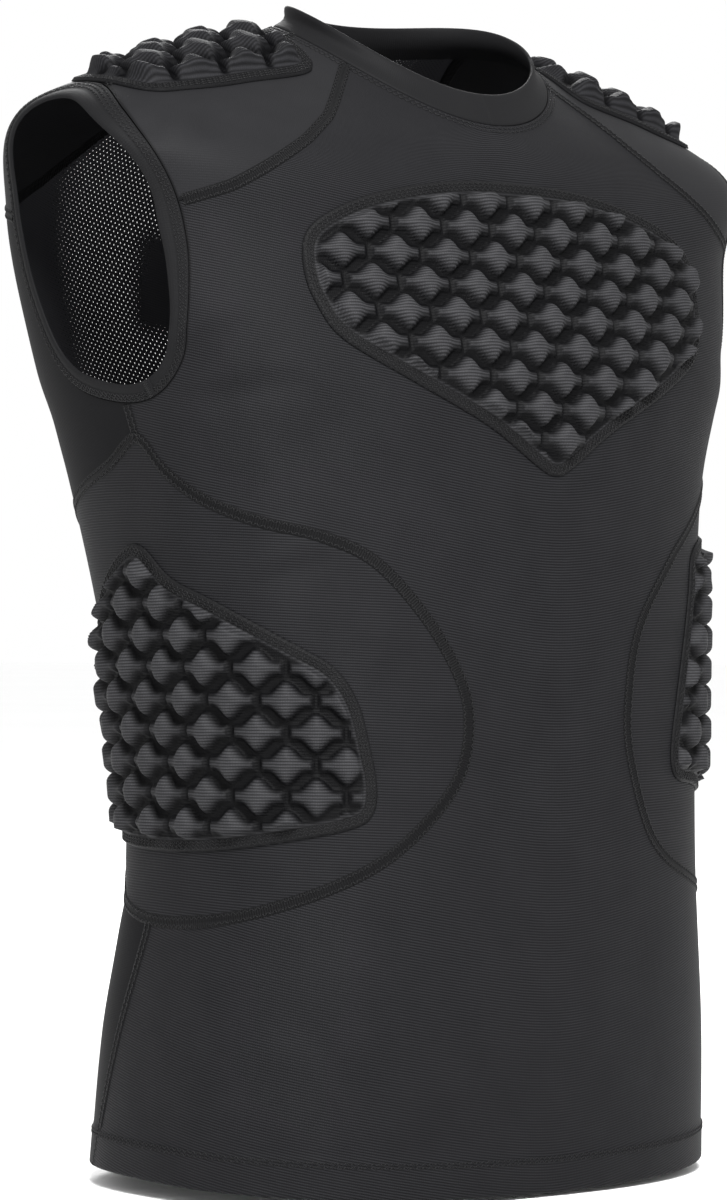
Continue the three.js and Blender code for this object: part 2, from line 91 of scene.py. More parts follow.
# Seams: x and height, then angle in degrees and height.
yokeSeamFront = [(74, 562), (86, 551), (103, 535), (121, 522), (145, 508), (166, 496), (194, 485)]
yokeSeamBack = [(58, 603), (80, 575), (112, 541), (130, 525), (148, 511), (176, 496), (198, 487)]
sideSeam = [(115.5, 0), (113, 22), (98, 130), (92, 250), (86, 373), (87, 420)]
sidePanelFront = {
    -1: [(86, 374), (79, 358), (70, 344), (58, 333), (46, 326), (36.5, 314), (28, 287), (22.3, 259),
         (20.5, 237), (22.5, 210), (30, 184), (40, 163), (54, 147.5), (70, 138)],
    1: [(86, 379), (76, 374), (64, 364), (52, 351), (36.5, 327), (29.7, 312), (23, 292), (19.6, 274),
        (17.8, 250), (17.8, 222), (22.9, 184), (29.4, 166), (40, 155), (54, 147), (70, 138)],
}
sidePanelBack = [(92, 134), (112, 140), (127, 154), (141, 180), (150, 212), (153, 248), (150, 284),
                 (141, 316), (128, 337), (112, 350), (98, 361)]

# Soft creases in the cloth: two ends as angle in degrees and height, then half width and depth.
# The first six are the ones that the front shows.
creases = [
    ((-64, 296), (-42, 318), 5, 1.6),
    ((-80, 398), (-49, 432), 6, 2.2),
    ((-76, 384), (-40, 404), 6, 1.8),
    ((-90, 122), (-66, 132), 5, 1.5),
    ((-62, 540), (-50, 518), 4, 1.6),
    ((-70, 536), (-58, 512), 4, 1.5),
    ((66, 300), (40, 322), 7, 1.2),
    ((82, 400), (50, 436), 8, 1.4),
    ((150, 120), (110, 150), 10, 1.5),
    ((-150, 130), (-112, 150), 10, 1.5),
    ((165, 400), (120, 372), 10, 1.4),
    ((-168, 410), (-118, 380), 10, 1.4),
]
creaseFold = {"height": 0.45, "offset": 1.9, "fade": 1.5}   # the low fold beside each trough


def smoothstep(low, high, value):
    share = np.clip((value - low) / (high - low), 0, 1)
    return share * share * (3 - 2 * share)


def between(p0, p1, p2, p3, share):
    # a Catmull-Rom curve from p1 to p2
    cubic = 3 * (p1 - p2) + p3 - p0
    return p1 + 0.5 * share * (p2 - p0 + share * (2 * p0 - 5 * p1 + 4 * p2 - p3 + share * cubic))


def catmullRom(table, at):
    # rows of the table between its own rows, on a smooth curve
    last = len(table) - 1
    at = np.clip(at, 0, last - 1e-9)
    i = np.floor(at).astype(int)
    f = (at - i)[..., None]
    p1, p2 = table[i], table[i + 1]
    p0 = np.where((i > 0)[..., None], table[np.maximum(i - 1, 0)], 2 * p1 - p2)
    p3 = np.where((i + 2 <= last)[..., None], table[np.minimum(i + 2, last)], 2 * p2 - p1)
    return between(p0, p1, p2, p3, f)


def bodyPoint(place):
    # place is rows of angle and ring number; gives x, y and height above the hem
    angle, ring = place[..., 0], place[..., 1]
    row = np.moveaxis(catmullRom(rings, ring), -1, 0)
    halfWidth, middle, front, back, sideZ, frontZ, backZ, squareFront, squareBack = row
    s, c = np.sin(angle), np.cos(angle)
    square = squareBack + (squareFront - squareBack) * smoothstep(0, 1, (1 + c) / 2)
    reach = (np.abs(s) ** square + np.abs(c) ** square) ** (-1 / square)
    level = (frontZ + backZ + 2 * sideZ) / 4
    tilt = (frontZ - backZ) / 2
    saddle = (frontZ + backZ - 2 * sideZ) / 4
    x = halfWidth * s * reach
    y = middle - np.where(c > 0, front, back) * c * reach
    return np.stack([x, y, level + tilt * c + saddle * np.cos(2 * angle)], -1)


def bodyNormal(place):
    step = 0.004
    ahead, behind = place + [step, 0], place - [step, 0]
    above = np.stack([place[..., 0], np.minimum(place[..., 1] + step, shirt["topRing"])], -1)
    below = np.stack([place[..., 0], np.maximum(place[..., 1] - step, 0)], -1)
    normal = np.cross(bodyPoint(ahead) - bodyPoint(behind), bodyPoint(above) - bodyPoint(below))
    return normal / np.linalg.norm(normal, axis=-1, keepdims=True)


def straightAngle(angle):
    return (angle + math.pi) % (2 * math.pi) - math.pi


def creaseDepth(place, point):
    # troughs along the creases, fading out at both ends
    u = straightAngle(place[..., 0]) * shirt["seamReach"]
    z = point[..., 2]
    depth = np.zeros_like(u)
    for start, end, width, deep in creases:
        a = np.array([math.radians(start[0]) * shirt["seamReach"], start[1]])
        b = np.array([math.radians(end[0]) * shirt["seamReach"], end[1]])
        along = (b - a) / np.linalg.norm(b - a)
        run = (u - a[0]) * along[0] + (z - a[1]) * along[1]
        off = (u - a[0]) * along[1] - (z - a[1]) * along[0]
        share = np.clip(run / np.linalg.norm(b - a), 0, 1)
        fold = np.exp(-(off / width + creaseFold["offset"]) ** 2)
        trough = np.exp(-(off / width) ** 2) - creaseFold["height"] * fold
        depth += deep * trough * np.sin(math.pi * share) ** creaseFold["fade"]
    return depth


def clothPoint(place, out):
    # a point of cloth moved out of the body surface, in metres in the frame
    point = bodyPoint(place)
    moved = point + bodyNormal(place) * (np.asarray(out) - creaseDepth(place, point))[..., None]
    return (moved - [0, 0, shirt["shoulderHeight"]]) / 1000


# Mm of cloth round the body and up it, by angle and ring
mapAngles = np.linspace(0, math.pi, 241)
mapRings = np.linspace(0, shirt["topRing"], 501)
mapPlaces = np.stack(np.meshgrid(mapAngles, mapRings), -1)
mapPoints = bodyPoint(mapPlaces)


def lengthsAlong(points, axis):
    steps = np.linalg.norm(np.diff(points, axis=axis), axis=-1)
    start = np.zeros_like(np.take(steps, [0], axis))
    return np.concatenate([start, np.cumsum(steps, axis)], axis)


roundTable = lengthsAlong(mapPoints, 1)
upTable = lengthsAlong(mapPoints, 0)


def readTable(table, x, y):
    # between the table's own columns x and rows y
    i = np.clip(x.astype(int), 0, table.shape[1] - 2)
    j = np.clip(y.astype(int), 0, table.shape[0] - 2)
    fx, fy = x - i, y - j
    low = table[j, i] * (1 - fx) + table[j, i + 1] * fx
    high = table[j + 1, i] * (1 - fx) + table[j + 1, i + 1] * fx
    return low * (1 - fy) + high * fy


def readMap(table, angle, ring):
    columns, rows = len(mapAngles) - 1, len(mapRings) - 1
    return readTable(table, np.abs(angle) / math.pi * columns, ring / shirt["topRing"] * rows)


def clothMap(place, fromBack=False, ribTilt=0.0):
    # flat coordinates of the cloth in mm: round the body and up it, the ribs rising to the sides
    level = 30    # mm either side of the middle over which the ribs turn upwards
    angle, ring = straightAngle(place[..., 0]), place[..., 1]
    run = readMap(roundTable, angle, ring)
    if fromBack:
        run = run - readMap(roundTable, np.full_like(angle, math.pi), ring)
    side = np.where(angle < 0, -1, 1)
    return np.stack([side * run, readMap(upTable, angle, ring) - ribTilt * np.hypot(run, level)], -1)


# Distances to the seams
def closedOutline(corners, stepsEach=5):
    # a smooth closed line through the corners
    corners = np.array(corners, float)
    near = [np.roll(corners, k, axis=0) for k in (1, 0, -1, -2)]
    stretches = [between(*near, share) for share in np.arange(stepsEach) / stepsEach]
    return np.stack(stretches, 1).reshape(-1, 2)


def insideBy(outline, x, y):
    # distance to a closed outline, positive inside it
    nearest = np.full(x.shape, np.inf)
    inside = np.zeros(x.shape, bool)
    for a, b in zip(outline, np.roll(outline, -1, axis=0)):
        dx, dy = b - a
        f = np.clip(((x - a[0]) * dx + (y - a[1]) * dy) / (dx * dx + dy * dy), 0, 1)
        nearest = np.minimum(nearest, np.hypot(x - a[0] - f * dx, y - a[1] - f * dy))
        if dy != 0:
            inside ^= ((a[1] > y) != (b[1] > y)) & (x < a[0] + (y - a[1]) / dy * dx)
    return np.where(inside, nearest, -nearest)


sidePanelOutlines = {
    side: closedOutline([(math.radians(angle) * shirt["seamReach"], z)
                         for angle, z in front + sidePanelBack])
    for side, front in sidePanelFront.items()
}


def readSeam(rows, value):
    rows = np.array(rows, float)
    i = np.clip(np.searchsorted(rows[:, 0], value) - 1, 0, len(rows) - 2)
    slope = (rows[i + 1, 1] - rows[i, 1]) / (rows[i + 1, 0] - rows[i, 0])
    return rows[i, 1] + slope * (value - rows[i, 0]), slope


def armholeReach(turn):
    reach = armhole["level"]
    for count, (cosine, sine) in enumerate(armhole["waves"], 1):
        reach = reach + cosine * np.cos(count * turn) + sine * np.sin(count * turn)
    return reach


def outsideArmhole(place):
    point = bodyPoint(place)
    dy, dz = point[..., 1] - armhole["y"], point[..., 2] - armhole["z"]
    return np.hypot(dy, dz) - armholeReach(np.arctan2(dz, dy))


def aboveYokeSeam(place):
    point = bodyPoint(place)
    x = np.abs(point[..., 0])
    frontZ, frontSlope = readSeam(yokeSeamFront, x)
    backZ, backSlope = readSeam(yokeSeamBack, x)
    front = np.cos(place[..., 0]) > -1e-9
    slope = np.where(front, frontSlope, backSlope)
    return (point[..., 2] - np.where(front, frontZ, backZ)) / np.hypot(1, slope)


def inFrontOfSideSeam(place):
    z = bodyPoint(place)[..., 2]
    angle, _ = readSeam([(z, angle) for angle, z in sideSeam], z)
    return (np.radians(angle) - np.abs(straightAngle(place[..., 0]))) * shirt["seamReach"]


def insideSidePanel(place):
    angle = straightAngle(place[..., 0])
    u, z = np.abs(angle) * shirt["seamReach"], bodyPoint(place)[..., 2]
    right = insideBy(sidePanelOutlines[-1], u, z)
    left = insideBy(sidePanelOutlines[1], u, z)
    return np.where(angle < 0, right, left)


def belowCollar(place):
    # mm of cloth below the collar seam
    angle = straightAngle(place[..., 0])
    seam = readMap(upTable, angle, np.full_like(angle, shirt["collarRing"]))
    return seam - readMap(upTable, angle, place[..., 1])


def aboveHem(place):
    return readMap(upTable, straightAngle(place[..., 0]), place[..., 1])


# Grids, and cutting them along lines
def gridTriangles(columns, rows, closed=False):
    wide = columns if closed else columns - 1
    j, i = np.meshgrid(np.arange(rows - 1), np.arange(wide), indexing="ij")
    a, b = j * columns + i, j * columns + (i + 1) % columns
    c, d = b + columns, a + columns
    return np.concatenate([np.stack([a, b, c], -1).reshape(-1, 3), np.stack([a, c, d], -1).reshape(-1, 3)])


def stepBetween(places, edges, around):
    step = places[edges[:, 1]] - places[edges[:, 0]]
    if around:
        step[:, 0] = straightAngle(step[:, 0])
    return step


def cut(piece, distance, around=False, onLine=0.05):
    # keeps the part of a triangulated piece where the distance is positive; corners within onLine mm
    # of the line count as on it, so that no slivers are left
    places, triangles = piece
    value = distance(places)
    sign = np.where(np.abs(value) < onLine, 0, np.sign(value)).astype(int)
    low, high = sign[triangles].min(1), sign[triangles].max(1)
    mixed = triangles[(low < 0) & (high > 0)]
    edges = np.concatenate([mixed[:, [0, 1]], mixed[:, [1, 2]], mixed[:, [2, 0]]])
    edges = np.unique(np.sort(edges[sign[edges[:, 0]] * sign[edges[:, 1]] < 0], 1), axis=0)
    count = len(places)
    keys = edges[:, 0] * count + edges[:, 1]
    start, step = places[edges[:, 0]], stepBetween(places, edges, around)
    near, far = np.zeros(len(edges)), np.ones(len(edges))
    for _ in range(14):
        middle = (near + far) / 2
        same = np.sign(distance(start + step * middle[:, None])) == sign[edges[:, 0]]
        near, far = np.where(same, middle, near), np.where(same, far, middle)
    places = np.concatenate([places, start + step * ((near + far) / 2)[:, None]])

    def crossing(a, b):
        return count + np.searchsorted(keys, np.minimum(a, b) * count + np.maximum(a, b))

    kept = [triangles[(low >= 0) & (high > 0)]]
    for turn in range(3):
        a, b, c = np.roll(mixed, -turn, axis=1).T
        signs = np.stack([sign[a], sign[b], sign[c]])
        for pattern, corners in (
            ((1, -1, -1), lambda a, b, c: [(a, crossing(a, b), crossing(c, a))]),
            ((1, 1, -1), lambda a, b, c: [(a, b, crossing(b, c)), (a, crossing(b, c), crossing(c, a))]),
            ((1, 0, -1), lambda a, b, c: [(a, b, crossing(c, a))]),
            ((1, -1, 0), lambda a, b, c: [(a, crossing(a, b), c)]),
        ):
            chosen = np.all(signs == np.array(pattern)[:, None], axis=0)
            kept += [np.stack(t, -1) for t in corners(a[chosen], b[chosen], c[chosen])]
    triangles = np.concatenate(kept)
    used, triangles = np.unique(triangles, return_inverse=True)
    return places[used], triangles.reshape(-1, 3)


def traceLine(piece, distance, around=False):
    # lines on a triangulated piece where the distance is zero, as lists of places
    places, triangles = piece
    value = distance(places)
    above = value > 0
    mixed = triangles[(above[triangles].sum(1) % 3) != 0]
    edges = np.stack([mixed[:, [0, 1]], mixed[:, [1, 2]], mixed[:, [2, 0]]], 1)
    crossed = above[edges[..., 0]] != above[edges[..., 1]]
    pairs = np.sort(edges[crossed].reshape(-1, 2), 1)
    unique, ids = np.unique(pairs, axis=0, return_inverse=True)
    share = value[unique[:, 0]] / (value[unique[:, 0]] - value[unique[:, 1]])
    points = places[unique[:, 0]] + stepBetween(places, unique, around) * share[:, None]
    joined = {}
    for a, b in ids.reshape(-1, 2).tolist():
        joined.setdefault(a, []).append(b)
        joined.setdefault(b, []).append(a)
    lines = []
    ends = [k for k, near in joined.items() if len(near) == 1]
    for start in ends + list(joined):
        if not joined.get(start):
            continue
        line = [start]
        while joined.get(line[-1]):
            following = joined[line[-1]].pop()
            joined[following].remove(line[-1])
            line.append(following)
        lines.append(points[line])
    return lines


def keptStretches(lines, keep):
    # the stretches of the lines where keep is true
    stretches = []
    for line in lines:
        good = keep(line)
        breaks = np.flatnonzero(np.diff(good.astype(int))) + 1
        parts = zip(np.split(line, breaks), np.split(good, breaks))
        stretches += [part for part, ok in parts if ok[0] and len(part) > 2]
    return stretches


def wallFaces(triangles, count):
    # an outer face, an inner one count corners on and turned round, and a rim along every open edge
    edges = np.concatenate([triangles[:, [0, 1]], triangles[:, [1, 2]], triangles[:, [2, 0]]])
    keys = np.sort(edges, 1)
    _, first, counts = np.unique(keys, axis=0, return_index=True, return_counts=True)
    a, b = edges[first[counts == 1]].T
    rim = np.concatenate([np.stack([b, a, a + count], -1), np.stack([b, a + count, b + count], -1)])
    return np.concatenate([triangles, triangles[:, ::-1] + count, rim])


def tubeQuads(steps, sides, closed):
    # a section of so many sides carried along the steps, and back to the first when closed
    i, j = np.meshgrid(np.arange(steps if closed else steps - 1), np.arange(sides), indexing="ij")
    a, b = i * sides + j, (i + 1) % steps * sides + j
    c, d = (i + 1) % steps * sides + (j + 1) % sides, i * sides + (j + 1) % sides
    return np.stack([a, b, c, d], -1).reshape(-1, 4)


# Nodes and materials
def linear(hexColour):
    parts = [int(hexColour[i:i + 2], 16) / 255 for i in (1, 3, 5)]
    return [p / 12.92 if p <= 0.04045 else ((p + 0.055) / 1.055) ** 2.4 for p in parts] + [1]


def addNode(tree, kind, inputs=(), **settings):
    node = tree.nodes.new(kind)
    for name, value in settings.items():
        setattr(node, name, value)
    for name, value in dict(inputs).items():
        if isinstance(value, bpy.types.NodeSocket):
            tree.links.new(value, node.inputs[name])
        else:
            node.inputs[name].default_value = value
    return node


def newMaterial(name):
    material = bpy.data.materials.new(name)
    material.use_nodes = True
    material.node_tree.nodes.clear()
    return material, material.node_tree


waveScale = 2 * math.pi / 20    # a wave texture of this scale repeats once a unit


def clothMaterial(name, look):
    material, tree = newMaterial(name)
    flat = addNode(tree, "ShaderNodeUVMap", uv_map="cloth").outputs["UV"]
    courses = addNode(tree, "ShaderNodeTexWave", {
        "Vector": flat, "Scale": waveScale / look["coursePitch"], "Distortion": look["waver"],
        "Detail": 1.0, "Detail Scale": 0.6,
    }, bands_direction="Y").outputs["Fac"]
    wales = addNode(tree, "ShaderNodeTexWave", {
        "Vector": flat, "Scale": waveScale / look["walePitch"], "Distortion": look["waver"] * 1.5,
        "Detail": 1.0, "Detail Scale": 0.8,
    }, bands_direction="X").outputs["Fac"]
    loops = addNode(tree, "ShaderNodeMath", {0: courses, 1: wales}, operation="MULTIPLY").outputs[0]
    mottle = addNode(tree, "ShaderNodeTexNoise", {
        "Vector": flat, "Scale": 0.035, "Detail": 3.0,
    }).outputs["Fac"]
    fuzz = addNode(tree, "ShaderNodeTexNoise", {"Vector": flat, "Scale": 1.1, "Detail": 2.0}).outputs["Fac"]
    seam = addNode(tree, "ShaderNodeAttribute", attribute_name="seam").outputs["Fac"]
    overSeam = addNode(tree, "ShaderNodeMapRange", {
        "Value": seam, "From Min": look["seamWidth"] + 0.5, "From Max": look["seamWidth"] - 0.5,
    }, interpolation_type="SMOOTHSTEP").outputs[0]
    patchy = addNode(tree, "ShaderNodeMapRange", {
        "Value": mottle, "From Min": 0.38, "From Max": 0.62, "To Min": look["courseRise"] * 0.35,
        "To Max": look["courseRise"],
    }).outputs[0]
    height = addNode(tree, "ShaderNodeMath", {0: courses, 1: patchy}, operation="MULTIPLY").outputs[0]
    for pattern, rise in ((loops, "loopRise"), (fuzz, "fuzzRise")):
        height = addNode(tree, "ShaderNodeMath", {
            0: pattern, 1: look[rise], 2: height,
        }, operation="MULTIPLY_ADD").outputs[0]
    bump = addNode(tree, "ShaderNodeBump", {
        "Height": height, "Strength": look["relief"], "Distance": 0.001,
    })
    # painted highlight on the crests of the ribs and loops, and random blotches of real tone
    ribHighlightAndMottle = 0.0
    for pattern, shine in ((loops, "loopShine"), (courses, "courseShine"), (mottle, "mottle")):
        ribHighlightAndMottle = addNode(tree, "ShaderNodeMath", {
            0: pattern, 1: look[shine], 2: ribHighlightAndMottle,
        }, operation="MULTIPLY_ADD").outputs[0]
    yarn = addNode(tree, "ShaderNodeMix", {
        "Factor": ribHighlightAndMottle, "A": linear(look["groove"]), "B": linear(look["crest"]),
    }, data_type="RGBA")
    tinted = addNode(tree, "ShaderNodeMix", {
        "Factor": overSeam, "A": yarn.outputs["Result"], "B": linear(look["seamColour"]),
    }, data_type="RGBA")
    # painted shade: an attribute mixes the colour towards the look's painted-shade colour
    paintedShade = addNode(tree, "ShaderNodeAttribute", attribute_name="paintedShade").outputs["Fac"]
    shaded = addNode(tree, "ShaderNodeMix", {
        "Factor": paintedShade, "A": tinted.outputs["Result"], "B": linear(look["paintedShadeColour"]),
    }, data_type="RGBA")
    rough = addNode(tree, "ShaderNodeMapRange", {
        "Value": fuzz, "To Min": look["roughness"] - 0.08, "To Max": look["roughness"] + 0.08,
    }).outputs[0]
    shader = addNode(tree, "ShaderNodeBsdfPrincipled", {
        "Base Color": shaded.outputs["Result"], "Roughness": rough, "Normal": bump.outputs["Normal"],
        "IOR": 1.5, "Specular IOR Level": look["specular"],
    })
    if "holeCell" in look:
        tree.links.new(clothHoles(tree, flat, look), shader.inputs["Alpha"])
    addNode(tree, "ShaderNodeOutputMaterial", {"Surface": shader.outputs["BSDF"]})
    return material


def clothHoles(tree, flat, look):
    # alpha of round holes in a brick bond, where the piece's holes attribute is above zero
    cell = (*look["holeCell"], 1)
    reaches = []
    for shift in (0, 0.5):
        place = flat
        for operation, by in (("DIVIDE", cell), ("ADD", (shift, shift, 0)), ("FRACTION", (0, 0, 0)),
                              ("SUBTRACT", (0.5, 0.5, 0)), ("MULTIPLY", cell)):
            place = addNode(tree, "ShaderNodeVectorMath", {0: place, 1: by}, operation=operation).outputs[0]
        reach = addNode(tree, "ShaderNodeVectorMath", {0: place}, operation="LENGTH").outputs["Value"]
        reaches.append(reach)
    nearest = addNode(tree, "ShaderNodeMath", dict(enumerate(reaches)), operation="MINIMUM").outputs[0]
    zone = addNode(tree, "ShaderNodeAttribute", attribute_name="holes").outputs["Fac"]
    radius = addNode(tree, "ShaderNodeMath", {
        0: zone, 1: look["holeRadius"],
    }, operation="MULTIPLY").outputs[0]
    return addNode(tree, "ShaderNodeMath", {0: nearest, 1: radius}, operation="GREATER_THAN").outputs[0]


# Each look's sizes are in mm of cloth. Its groove and crest colours are the two ends of the yarn's colour:
# the shines say how far ribs and loops lift it towards the crest as a painted highlight, and how far random
# blotches lift it as real tone.
# Nylon and elastane knit for the front and the side panels: crosswise ribs, each with a painted soft grey
# highlight on its crest. The real ribs are about 1.1 mm apart and are drawn 1.35 mm apart, so that they show.
ribbedKnitLook = {
    "coursePitch": 1.35, "walePitch": 1.1, "waver": 0.5, "courseRise": 0.15, "loopRise": 0.08,
    "fuzzRise": 0.05, "relief": 0.8, "groove": "#050506", "crest": "#222224", "courseShine": 0.55,
    "loopShine": 0.2, "mottle": 0.25, "roughness": 0.6, "specular": 0.06,
    "seamWidth": 0.7, "seamColour": "#0a0a0b", "paintedShadeColour": "#060607",
}
# Smooth nylon and elastane knit for the yokes: a close matt face with hardly any rib.
smoothKnitLook = {
    **ribbedKnitLook, "coursePitch": 1.3, "courseRise": 0.02, "loopRise": 0.03, "groove": "#151516",
    "crest": "#1f1f21", "courseShine": 0.2, "loopShine": 0.3, "mottle": 0.4,
}
# Perforated polyester knit for the back: fine round holes in a brick bond, two to a cell, that let
# the light through. Towards the sides and in one patch the holes close up. The thin knit, seen from
# inside, is painted greyer than the rest as painted light; its outer face is darkened as painted shade.
perforatedKnitLook = {
    **smoothKnitLook, "groove": "#2b2b2e", "crest": "#3d3d40", "specular": 0.04,
    "holeCell": (3.1, 4.6), "holeRadius": 0.455,
}
# Folded smooth knit for the collar and armhole bindings: denser and darker, matt along the fold.
foldedTrimLook = {
    **smoothKnitLook, "groove": "#101011", "crest": "#19191a", "specular": 0.05, "seamWidth": 0.6,
}
# Ribbed knit bonded over moulded foam: fine ribs run across each bump, and the valleys between the bumps
# are darkened as painted shade; the flat margin is darker by the seam colour.
# The real ribs are about 1 mm apart and are drawn 1.5 mm apart, so that they show.
mouldedPadLook = {
    **ribbedKnitLook, "coursePitch": 1.5, "courseRise": 0.16, "crest": "#38383a", "groove": "#0f0f10",
    "seamWidth": 6.0, "seamColour": "#101011", "specular": 0.08, "paintedShadeColour": "#030304",
}
# The same knit on the shoulder pads, with darker colours as painted shade where the pads face up into the
# lights, and less gloss
shoulderPadShadedLook = {**mouldedPadLook, "crest": "#252527", "groove": "#0d0d0e", "specular": 0.04}
# Overlocked thread of the flatlock seams: a dark raised band with a ladder of crosswise threads
flatlockLook = {
    **ribbedKnitLook, "coursePitch": 1.3, "walePitch": 2.1, "courseRise": 0.25, "loopRise": 0.2,
    "groove": "#030304", "crest": "#111112", "courseShine": 0.4, "loopShine": 0.4, "specular": 0.08,
}
ribbedKnit = clothMaterial("Ribbed nylon knit, black", ribbedKnitLook)
smoothKnit = clothMaterial("Smooth nylon knit, black", smoothKnitLook)
perforatedKnit = clothMaterial("Perforated polyester knit, black", perforatedKnitLook)
foldedTrim = clothMaterial("Folded knit binding, black", foldedTrimLook)
mouldedPad = clothMaterial("Knit bonded over moulded foam, black", mouldedPadLook)
shoulderKnitShaded = clothMaterial("Knit bonded over moulded shoulder foam, black", shoulderPadShadedLook)
flatlockThread = clothMaterial("Overlocked polyester thread, black", flatlockLook)


def threadMaterial(name, colour, roughness):
    # spun polyester thread: a soft gloss with a fine twist, 0.4 mm long
    material, tree = newMaterial(name)
    place = addNode(tree, "ShaderNodeTexCoord").outputs["Object"]
    twist = addNode(tree, "ShaderNodeTexNoise", {
        "Vector": place, "Scale": 2500.0, "Detail": 1.0,
    }).outputs["Fac"]
    bump = addNode(tree, "ShaderNodeBump", {"Height": twist, "Strength": 0.4, "Distance": 0.0001})
    shade = addNode(tree, "ShaderNodeMix", {
        "Factor": twist, "A": linear(colour[0]), "B": linear(colour[1]),
    }, data_type="RGBA")
    shader = addNode(tree, "ShaderNodeBsdfPrincipled", {
        "Base Color": shade.outputs["Result"], "Roughness": roughness,
        "Normal": bump.outputs["Normal"], "Specular IOR Level": 0.15,
    })
    addNode(tree, "ShaderNodeOutputMaterial", {"Surface": shader.outputs["BSDF"]})
    return material


blackThread = threadMaterial("Polyester thread, black", ("#0b0b0c", "#1c1c1d"), 0.5)
print("materials made")


# Pieces
def makePiece(name, points, faces, material, attributes=(), flat=None, sharp=55):
    mesh = bpy.data.meshes.new(name)
    mesh.from_pydata(points.tolist(), [], faces)
    for key, values in dict(attributes).items():
        layer = mesh.attributes.new(key, "FLOAT", "POINT")
        layer.data.foreach_set("value", np.asarray(values, np.float32))
    if flat is not None:
        corners = np.zeros(len(mesh.loops), np.int32)
        mesh.loops.foreach_get("vertex_index", corners)
        layer = mesh.uv_layers.new(name="cloth")
        layer.data.foreach_set("uv", flat[corners].astype(np.float32).ravel())
    mesh.shade_smooth()
    mesh.set_sharp_from_angle(angle=math.radians(sharp))
    mesh.materials.append(material)
    piece = bpy.data.objects.new(name, mesh)
    bpy.context.scene.collection.objects.link(piece)
    return piece


def dressNode(piece, node):
    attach(piece, "root")
    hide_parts(node)


def wallPiece(name, part, faces, material, attributes, fromBack=False, ribTilt=0.0, outerPaintedShade=0.0):
    # a wall of cloth between two faces, its outer one mixed by the given share towards the painted-shade
    # colour, as painted shade
    places, triangles = part
    count = len(places)
    points = np.concatenate([clothPoint(places, out(places)) for out in faces])
    flat = np.tile(clothMap(places, fromBack, ribTilt), (2, 1))
    doubled = {key: np.tile(values, 2) for key, values in attributes.items()}
    # painted shade on the outer face only
    doubled["paintedShade"] = np.repeat([outerPaintedShade, 0.0], count)
    return makePiece(name, points, wallFaces(triangles, count).tolist(), material, doubled, flat)


hem = {
    "height": 19, "proud": 0.55, "turnedUp": 0.8,
    "foldAbove": 0.9, "foldBelow": 0.6,     # the turned-up edge steps down between these
    "roundness": 1.2, "thinnest": 0.02,     # thinnest is a share of the half thickness squared
}
# Rings of the grid are close together at the hem, where the cloth is turned up.
hemRings = np.array([0, 0.002, 0.006, 0.011, 0.018, 0.03, 0.05, 0.08, 0.12, 0.16, 0.2, 0.235, 0.25, 0.262])
upperRings = np.arange(0.29, shirt["collarRing"] - 0.03, shirt["ringStep"])
bodyRings = np.concatenate([hemRings, upperRings, [shirt["collarRing"] - 0.0035]])
bodyAngles = np.arange(shirt["columns"]) / shirt["columns"] * 2 * math.pi
bodyPlaces = np.stack(np.meshgrid(bodyAngles, bodyRings), -1).reshape(-1, 2)
body = (bodyPlaces, gridTriangles(shirt["columns"], len(bodyRings), closed=True))
halfGap = shirt["seamGap"] / 2


def cutPanel(*lines):
    piece = body
    for line in lines:
        piece = cut(piece, lambda place: line(place) - halfGap, around=True)
    return piece


def hemFaces(thickness):
    # how far out the outer and the inner face lie, with the hem turned up and its edge rounded
    middle = (hem["proud"] - thickness - hem["turnedUp"]) / 2

    def offset(place, face):
        height = aboveHem(place)
        turned = smoothstep(hem["height"] + hem["foldAbove"], hem["height"] - hem["foldBelow"], height)
        fromEdge = 1 - np.clip(height / hem["roundness"], 0, 1)
        edge = np.sqrt(np.clip(1 - fromEdge ** 2, hem["thinnest"], 1))
        plain = face + turned * (hem["proud"] if face == 0 else -hem["turnedUp"])
        return middle + (plain - middle) * np.where(height < hem["roundness"], edge, 1)

    return lambda place: offset(place, 0), lambda place: offset(place, -thickness)


def seamDistance(places, *lines):
    return np.min([np.abs(line(places)) for line in lines], axis=0)


def flip(line):
    return lambda place: -line(place)


def onSide(side):
    return lambda place: side * np.sin(place[..., 0]) * 200


bodySeams = (aboveYokeSeam, insideSidePanel, inFrontOfSideSeam, outsideArmhole)
frontCloth = {"ribTilt": 0.17}
frontPart = cutPanel(outsideArmhole, flip(aboveYokeSeam), flip(insideSidePanel), inFrontOfSideSeam)
frontPanel = wallPiece("front_panel_knit", frontPart, hemFaces(shirt["cloth"]), ribbedKnit,
                       {"seam": seamDistance(frontPart[0], *bodySeams)}, **frontCloth)
dressNode(frontPanel, "front_panel")

# The back panel's map starts at the centre back, and its outer face is darkened as painted shade, unlike its
# inner one.
backCloth = {"fromBack": True, "ribTilt": 0.23, "outerPaintedShade": 0.94}
# The perforations fade out towards the sides and in a patch on the centre line, and reach further
# round at the neck. Each fade gives where the holes are shut and where they are whole.
perforation = {
    "plainFrom": 136, "fade": 16,                   # degrees round from the centre front
    "neckWidening": 40, "neckHeights": (535, 565),
    "patchHalfWidth": 58, "patchHeights": (446, 484), "patchFade": (6, -14),
    "seamFade": (3, 5), "hemFade": (19, 22), "collarFade": (3, 6),
}
backPart = cutPanel(outsideArmhole, flip(aboveYokeSeam), flip(insideSidePanel), flip(inFrontOfSideSeam))
backPlaces = backPart[0]
backPoints = bodyPoint(backPlaces)
widened = perforation["neckWidening"] * smoothstep(*perforation["neckHeights"], backPoints[:, 2])
fromSide = np.degrees(np.abs(straightAngle(backPlaces[:, 0]))) - (perforation["plainFrom"] - widened)
patchLow, patchHigh = perforation["patchHeights"]
patchCorners = np.array([(-1, patchLow), (1, patchLow), (1, patchHigh), (-1, patchHigh)], float)
patchCorners[:, 0] *= perforation["patchHalfWidth"]
